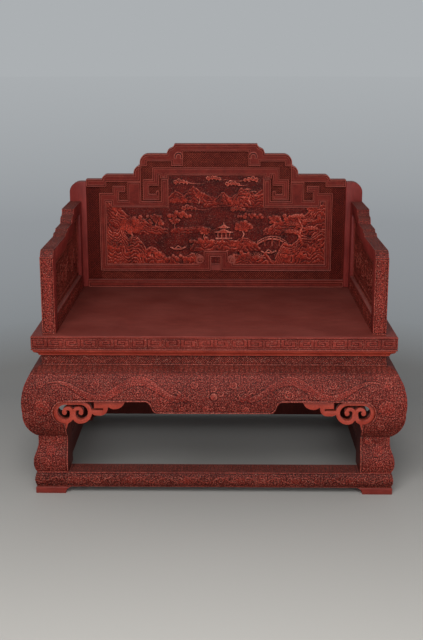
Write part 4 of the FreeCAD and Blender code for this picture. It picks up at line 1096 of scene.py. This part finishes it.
# what stands in the landscape, from the far hills to the near bank
layout = (
    (massif, [(-176, 860), (-150, 886), (-118, 868), (-82, 900), (-46, 878), (-6, 856), (30, 842)],
     838, 2.2, 4),
    (thicket, -172, -96, 844, 10, 2.4, 31),
    (massif, [(-44, 832), (-12, 850), (22, 876), (58, 860), (98, 896), (138, 872), (176, 888)], 824, 2.5, 6),
    (thicket, -6, 84, 838, 14, 2.6, 33),
    (pine, 128, 836, 52, -1, 2.9), (leafTree, -62, 838, 42, 1, 2.8, 10),
    (drift, -120, 816, 96, 1, 1.9), (drift, 60, 812, 90, 1, 1.9), (drift, -150, 912, 110, 1, 2.3),
    (drift, 150, 922, 90, -1, 2.3), (drift, -30, 926, 70, 1, 2.3), (drift, 40, 906, 80, 1, 2.3),
    (thicket, -172, -92, 786, 18, 2.6, 3), (thicket, 84, 174, 784, 20, 2.6, 5),
    (massif, [(-404, 846), (-372, 826), (-338, 806), (-306, 786), (-276, 776), (-244, 762),
              (-206, 748), (-176, 740)], 722, 2.6, 8),
    (massif, [(176, 740), (214, 764), (250, 770), (290, 792), (330, 800), (366, 828), (404, 846)],
     720, 2.6, 12),
    (thicket, -330, -190, 758, 34, 2.8, 7), (thicket, 200, 330, 760, 34, 2.8, 9),
    (leafTree, -368, 790, 46, 1, 2.9, 10), (leafTree, -224, 752, 44, 1, 2.9, 10),
    (leafTree, -150, 742, 40, -1, 2.9, 10), (leafTree, 356, 786, 46, -1, 2.9, 10),
    (leafTree, 214, 750, 44, 1, 2.9, 10),
    (massif, [(-168, 744), (-140, 752), (-104, 746), (-70, 756), (-30, 742), (0, 746), (40, 738)],
     726, 2.3, 14),
    (massif, [(-96, 676), (-62, 702), (-20, 696), (24, 708), (70, 702), (104, 714), (138, 692), (166, 674)],
     660, 2.8, 16),
    (thicket, -92, -10, 690, 18, 3.0, 11), (pavilion, 30, 704, 56, 3.3),
    (leafTree, 98, 704, 66, 1, 3.1, 14), (leafTree, -40, 700, 50, -1, 3.0, 11),
    (thicket, 60, 150, 680, 14, 3.0, 13), (bridge, 156, 262, 686, 20, 2.9),
    (massif, [(222, 640), (248, 692), (284, 688), (318, 724), (350, 708), (378, 738), (404, 748)],
     611, 3.0, 20),
    (pine, 322, 688, 100, -1, 3.4),
    (thicket, 236, 330, 636, 30, 3.2, 15), (thicket, 340, 404, 660, 34, 3.2, 17),
    (massif, [(-404, 748), (-382, 728), (-352, 746), (-326, 708), (-296, 718), (-262, 676),
              (-226, 668), (-186, 636)], 611, 3.0, 24),
    (leafTree, -318, 690, 88, 1, 3.3, 16),
    (thicket, -404, -344, 664, 30, 3.2, 19), (thicket, -290, -196, 634, 34, 3.2, 21),
    (boat, -140, 668), (boat, 196, 654),
    (massif, [(-196, 612), (-160, 640), (-122, 632), (-84, 650), (-60, 636), (-40, 612)], 604, 2.9, 28),
    (massif, [(42, 612), (78, 646), (112, 656), (150, 636), (186, 646), (228, 612)], 604, 2.9, 32),
    (thicket, -186, -96, 624, 22, 3.2, 23),
    (fan, -78, 628, 34, 3.3), (fan, 150, 628, 38, 3.3), (thicket, 66, 138, 636, 24, 3.2, 25),
)
shore = {"level": 752, "cloudRow": 5.0, "waveRow": 6.5, "waveRing": 3.4}


def sceneMotif(u, v, low, high):
    sky = 0.35 + 0.5 * soft(np.cos(turn * (v + 1.5 * np.sin(u / 17)) / shore["cloudRow"]), 0.1, 0.9)
    deep = shore["waveRow"]
    row = np.floor(v / deep)
    ring = np.hypot((u + deep * (row % 2)) % (2 * deep) - deep, (v % deep) * 1.1)
    water = 0.35 + 0.6 * soft(np.cos(turn * ring / shore["waveRing"]), 0.0, 0.8)
    h = lay(sky, soft(shore["level"] - v, -3, 3), water)
    for draw, *sizes in layout:
        h = draw(u, v, h, *sizes)
    return h


sceneFields = {"lower": (-403.6, 403.6, 610.3, 822.6), "upper": (-174.6, 174.6, 822.6, 940.6),
               "notch_left": (-403.6, -385.4, 822.6, 842.6), "notch_right": (385.4, 403.6, 822.6, 842.6)}
for word, field in sceneFields.items():
    backFace("back_scene_" + word, backs["panel"], field, backs["sceneStep"], sceneMotif, scenic)
print("back carved")


# plain pieces with eased edges, made from their solids

def newObject(name, data):
    piece = bpy.data.objects.new(name, data)
    bpy.context.scene.collection.objects.link(piece)
    choose(piece)
    return piece


def mergedCopy(nodeName, name):
    # a copy of a solid's mesh with its loose triangles joined up
    piece = newObject(name, nodes[nodeName].data.copy())
    setMode("EDIT")
    bpy.ops.mesh.select_all(action="SELECT")
    bpy.ops.mesh.remove_doubles(threshold=0.00002)
    setMode("OBJECT")
    return piece


def easedCopy(nodeName, name, width, segments, slotName, material):
    piece = mergedCopy(nodeName, name)
    setMode("EDIT")
    bpy.ops.mesh.dissolve_limited(angle_limit=math.radians(1.5))
    bpy.ops.mesh.normals_make_consistent(inside=False)
    setMode("OBJECT")
    edge = piece.modifiers.new("eased", "BEVEL")
    edge.width, edge.segments = width / 1000, segments
    edge.limit_method, edge.angle_limit = "ANGLE", math.radians(40)
    bpy.ops.object.modifier_apply(modifier="eased")
    finishPiece(piece, name, nodes[nodeName]["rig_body"], material, slotName, 35)
    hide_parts(nodeName)


def headings(points):
    way = np.roll(points, -1, axis=0) - points
    return way / np.linalg.norm(way, axis=1)[:, None]


def frontLoops(mesh):
    # the edges of the face towards the sitter, as closed loops of points
    uses, after = {}, {}
    for face in mesh.polygons:
        if face.normal.y < -0.95:
            ring = list(face.vertices)
            uses.update(dict.fromkeys(zip(ring, ring[1:] + ring[:1])))
    for start, end in uses:
        if (end, start) not in uses:
            after[start] = end
    while after:
        start, loop = next(iter(after)), []
        while start in after:
            loop.append(start)
            start = after.pop(start)
        yield loop


def edgeBeads(nodeName, name, inset, radius, material, least=0.0):
    # a round bead inside every edge of the face towards the sitter; loops narrower than least go without
    source = mergedCopy(nodeName, name + "_source")
    spots = source.data.vertices
    run = bpy.data.curves.new(name, "CURVE")
    run.dimensions, run.bevel_depth, run.bevel_resolution = "3D", radius / 1000, 2
    for loop in frontLoops(source.data):
        points = np.array([(spots[i].co.x, spots[i].co.z) for i in loop]) * 1000
        level = spots[loop[0]].co.y
        way = headings(points)
        points = points[(way * np.roll(way, 1, axis=0)).sum(1) < 0.9998]
        if np.ptp(points, axis=0).min() < least:
            continue
        way = headings(points)
        left = np.stack([-way[:, 1], way[:, 0]], axis=1)
        before = np.roll(left, 1, axis=0)
        moved = points + inset * (left + before) / (1 + (left * before).sum(1))[:, None]
        forth = ((np.roll(moved, -1, axis=0) - moved) * way).sum(1) > 0
        points = moved[forth & np.roll(forth, 1)]
        spline = run.splines.new("POLY")
        spline.points.add(len(points) - 1)
        spline.use_cyclic_u = True
        for point, (x, z) in zip(spline.points, points):
            point.co = (x / 1000, level, z / 1000, 1)
    bpy.data.objects.remove(source)
    newObject(name, run)
    bpy.ops.object.convert(target="MESH")
    finishPiece(bpy.context.object, name, "back", material, angle=60)


# widths of the eased edges and the sizes of the beads are in mm
for word in sideNames:
    for hand in ("first", "second"):
        tag = "bracket_%s_%s" % (word, hand)
        easedCopy(tag, "cloud_" + tag, 3.2, 3, "bright_lacquer", bright)
for corner in corners:
    easedCopy("plinth_foot_" + corner, "foot_" + corner, 1.6, 2, "bright_lacquer", smooth)
for word in hands:
    easedCopy("back_post_" + word, "back_upright_" + word, 3.0, 3, "plain_lacquer", postCoat)
    for part in ("front_stile", "rear_stile", "top_rail", "bottom_rail"):
        names = ("%s_arm_%s" % (word, part), "%s_arm_eased_%s" % (word, part))
        easedCopy(*names, 1.2, 2, "carved_lacquer", postCoat)
for word in ("fret", "edge"):
    edgeBeads("back_%s_border" % word, "back_%s_beads" % word, 1.5, 1.5, beadCoat)
# painted shadow: dark cords inside the beads stand in for the shadow of a groove, with a pale line further in
for word in ("fret", "edge"):
    edgeBeads("back_%s_border" % word, "back_%s_grooves" % word, 4.4, 0.8, grooveCoat, 60.0)
    edgeBeads("back_%s_border" % word, "back_%s_lines" % word, 7.2, 0.8, beadCoat, 60.0)
edgeBeads("back_bottom_rail", "back_rail_beads", 1.8, 1.2, beadCoat, 16.0)
# painted shadow lines on the bottom rail
edgeBeads("back_bottom_rail", "back_rail_grooves", 5.0, 0.9, grooveCoat, 16.0)
edgeBeads("back_relief_panel", "back_scene_beads", 0.6, 1.3, beadCoat)

# aprons and waist take near-black painted shade; legs and plinth rails take a darker painted shade on their
# bare faces
finishes = {"seat_rail": seatCoat, "seat_panel": seatCoat, "back_bottom_rail": bandCoat, "back_board": smooth,
            "back_fret": bandCoat, "back_edge": bandCoat, "apron": shadeCoat, "waist": shadeCoat,
            "leg": innerCoat, "plinth_rail": innerCoat, "seat_battens": timber, "back_tenons": timber,
            "left_arm_tenons": timber, "right_arm_tenons": timber}
for name, node in nodes.items():
    chosen = next((finish for start, finish in finishes.items() if name.startswith(start)), postCoat)
    node.data.materials.clear()
    node.data.materials.append(chosen)
print("plain pieces ready")


# floor, light and camera

stage = {"near": "#c0bdb7", "far": "#868684", "low": "#83878a", "mid": "#92969a", "high": "#acb0b3",
         "air": "#e6e9ee", "sky": 0.3, "wide": 60.0, "fade": (1.35, 2.1)}  # metres
bpy.ops.object.select_all(action="DESELECT")
bpy.ops.mesh.primitive_circle_add(vertices=96, radius=stage["wide"], fill_type="NGON")
floor = bpy.context.object
floor.name = "studio_floor"
material, add, _, where = startFinish("matt_grey_floor")
axes = add("SeparateXYZ", {}, where)
# painted shade: the floor darkens from front to back, for the falloff of the light
back = add("MapRange", {"From Min": -1.4, "From Max": 0.6}, {"Value": axes.outputs["Y"]})
under = add("Mix", {**blend, 6: paint(stage["near"]), 7: paint(stage["far"])}, {0: back})
matt = add("BsdfPrincipled", {"Roughness": 0.7, "Specular IOR Level": 0.2}, {"Base Color": under})
# far from the object the floor is a plain backdrop, a glow seen by the camera alone, paler with distance: its
# darker near part is painted shade
away = add("VectorMath", {"operation": "LENGTH"}, {0: where["Vector"]}).outputs["Value"]
depth = add("Math", {"operation": "DIVIDE", 0: stage["fade"][0]}, {1: away})
wall = add("ValToRGB", {"stops": [(0.0, stage["high"]), (0.65, stage["low"]), (0.25, stage["mid"])]},
           {"Fac": depth})
beyond = add("MapRange", dict(zip(("From Min", "From Max"), stage["fade"])), {"Value": away})
seen = add("LightPath", {})
share = add("Math", {"operation": "MULTIPLY"}, {0: beyond, 1: seen.outputs["Is Camera Ray"]})
glow = add("Emission", {}, {"Color": wall})
both = add("MixShader", {}, {0: share, 1: matt, 2: glow})
add("OutputMaterial", {}, {"Surface": both})
floor.data.materials.append(material)


def softLight(name, place, target, size, power, glossy):
    bpy.ops.object.light_add(type="AREA", location=place)
    lamp = bpy.context.object
    lamp.name = name
    lamp.data.shape, lamp.data.size, lamp.data.energy = "SQUARE", size, power
    lamp.rotation_euler = (Vector(target) - Vector(place)).to_track_quat("-Z", "Y").to_euler()
    lamp.visible_glossy = glossy


softLight("key_panel", (-0.5, -2.9, 2.9), (0, 0, 0.5), 1.8, 86.0, True)
softLight("fill_panel", (0.7, -3.5, 0.9), (0, 0, 0.5), 2.8, 51.0, True)
softLight("rear_panel", (0, 3.2, 1.4), (0, 0.2, 0.6), 2.2, 30.0, False)
for word, sign in hands.items():
    softLight(word + "_panel", (3.2 * sign, 0.3, 0.9), (0, 0, 0.5), 2.0, 13.0, False)
world = bpy.data.worlds.new("studio")
bpy.context.scene.world = world
world.use_nodes = True
world.node_tree.nodes.clear()
add = partial(addNode, world.node_tree)
light = add("Background", {"Color": paint(stage["air"]), "Strength": stage["sky"]})
plain = add("Background", {"Color": paint(stage["high"])})
looked = add("LightPath", {})
either = add("MixShader", {}, {0: looked.outputs["Is Camera Ray"], 1: light, 2: plain})
add("OutputWorld", {}, {"Surface": either})

# the camera of the photo, found from the straight edges of the throne
bpy.ops.object.camera_add(location=(0.0293, -3.5639, 1.3779), rotation=(math.radians(75.81), 0, 0.0116))
camera = bpy.context.object
camera.data.lens, camera.data.sensor_width = 59.625, 36.0
bpy.context.scene.camera = camera
bpy.context.scene.view_settings.view_transform = "Standard"

print("scene ready")
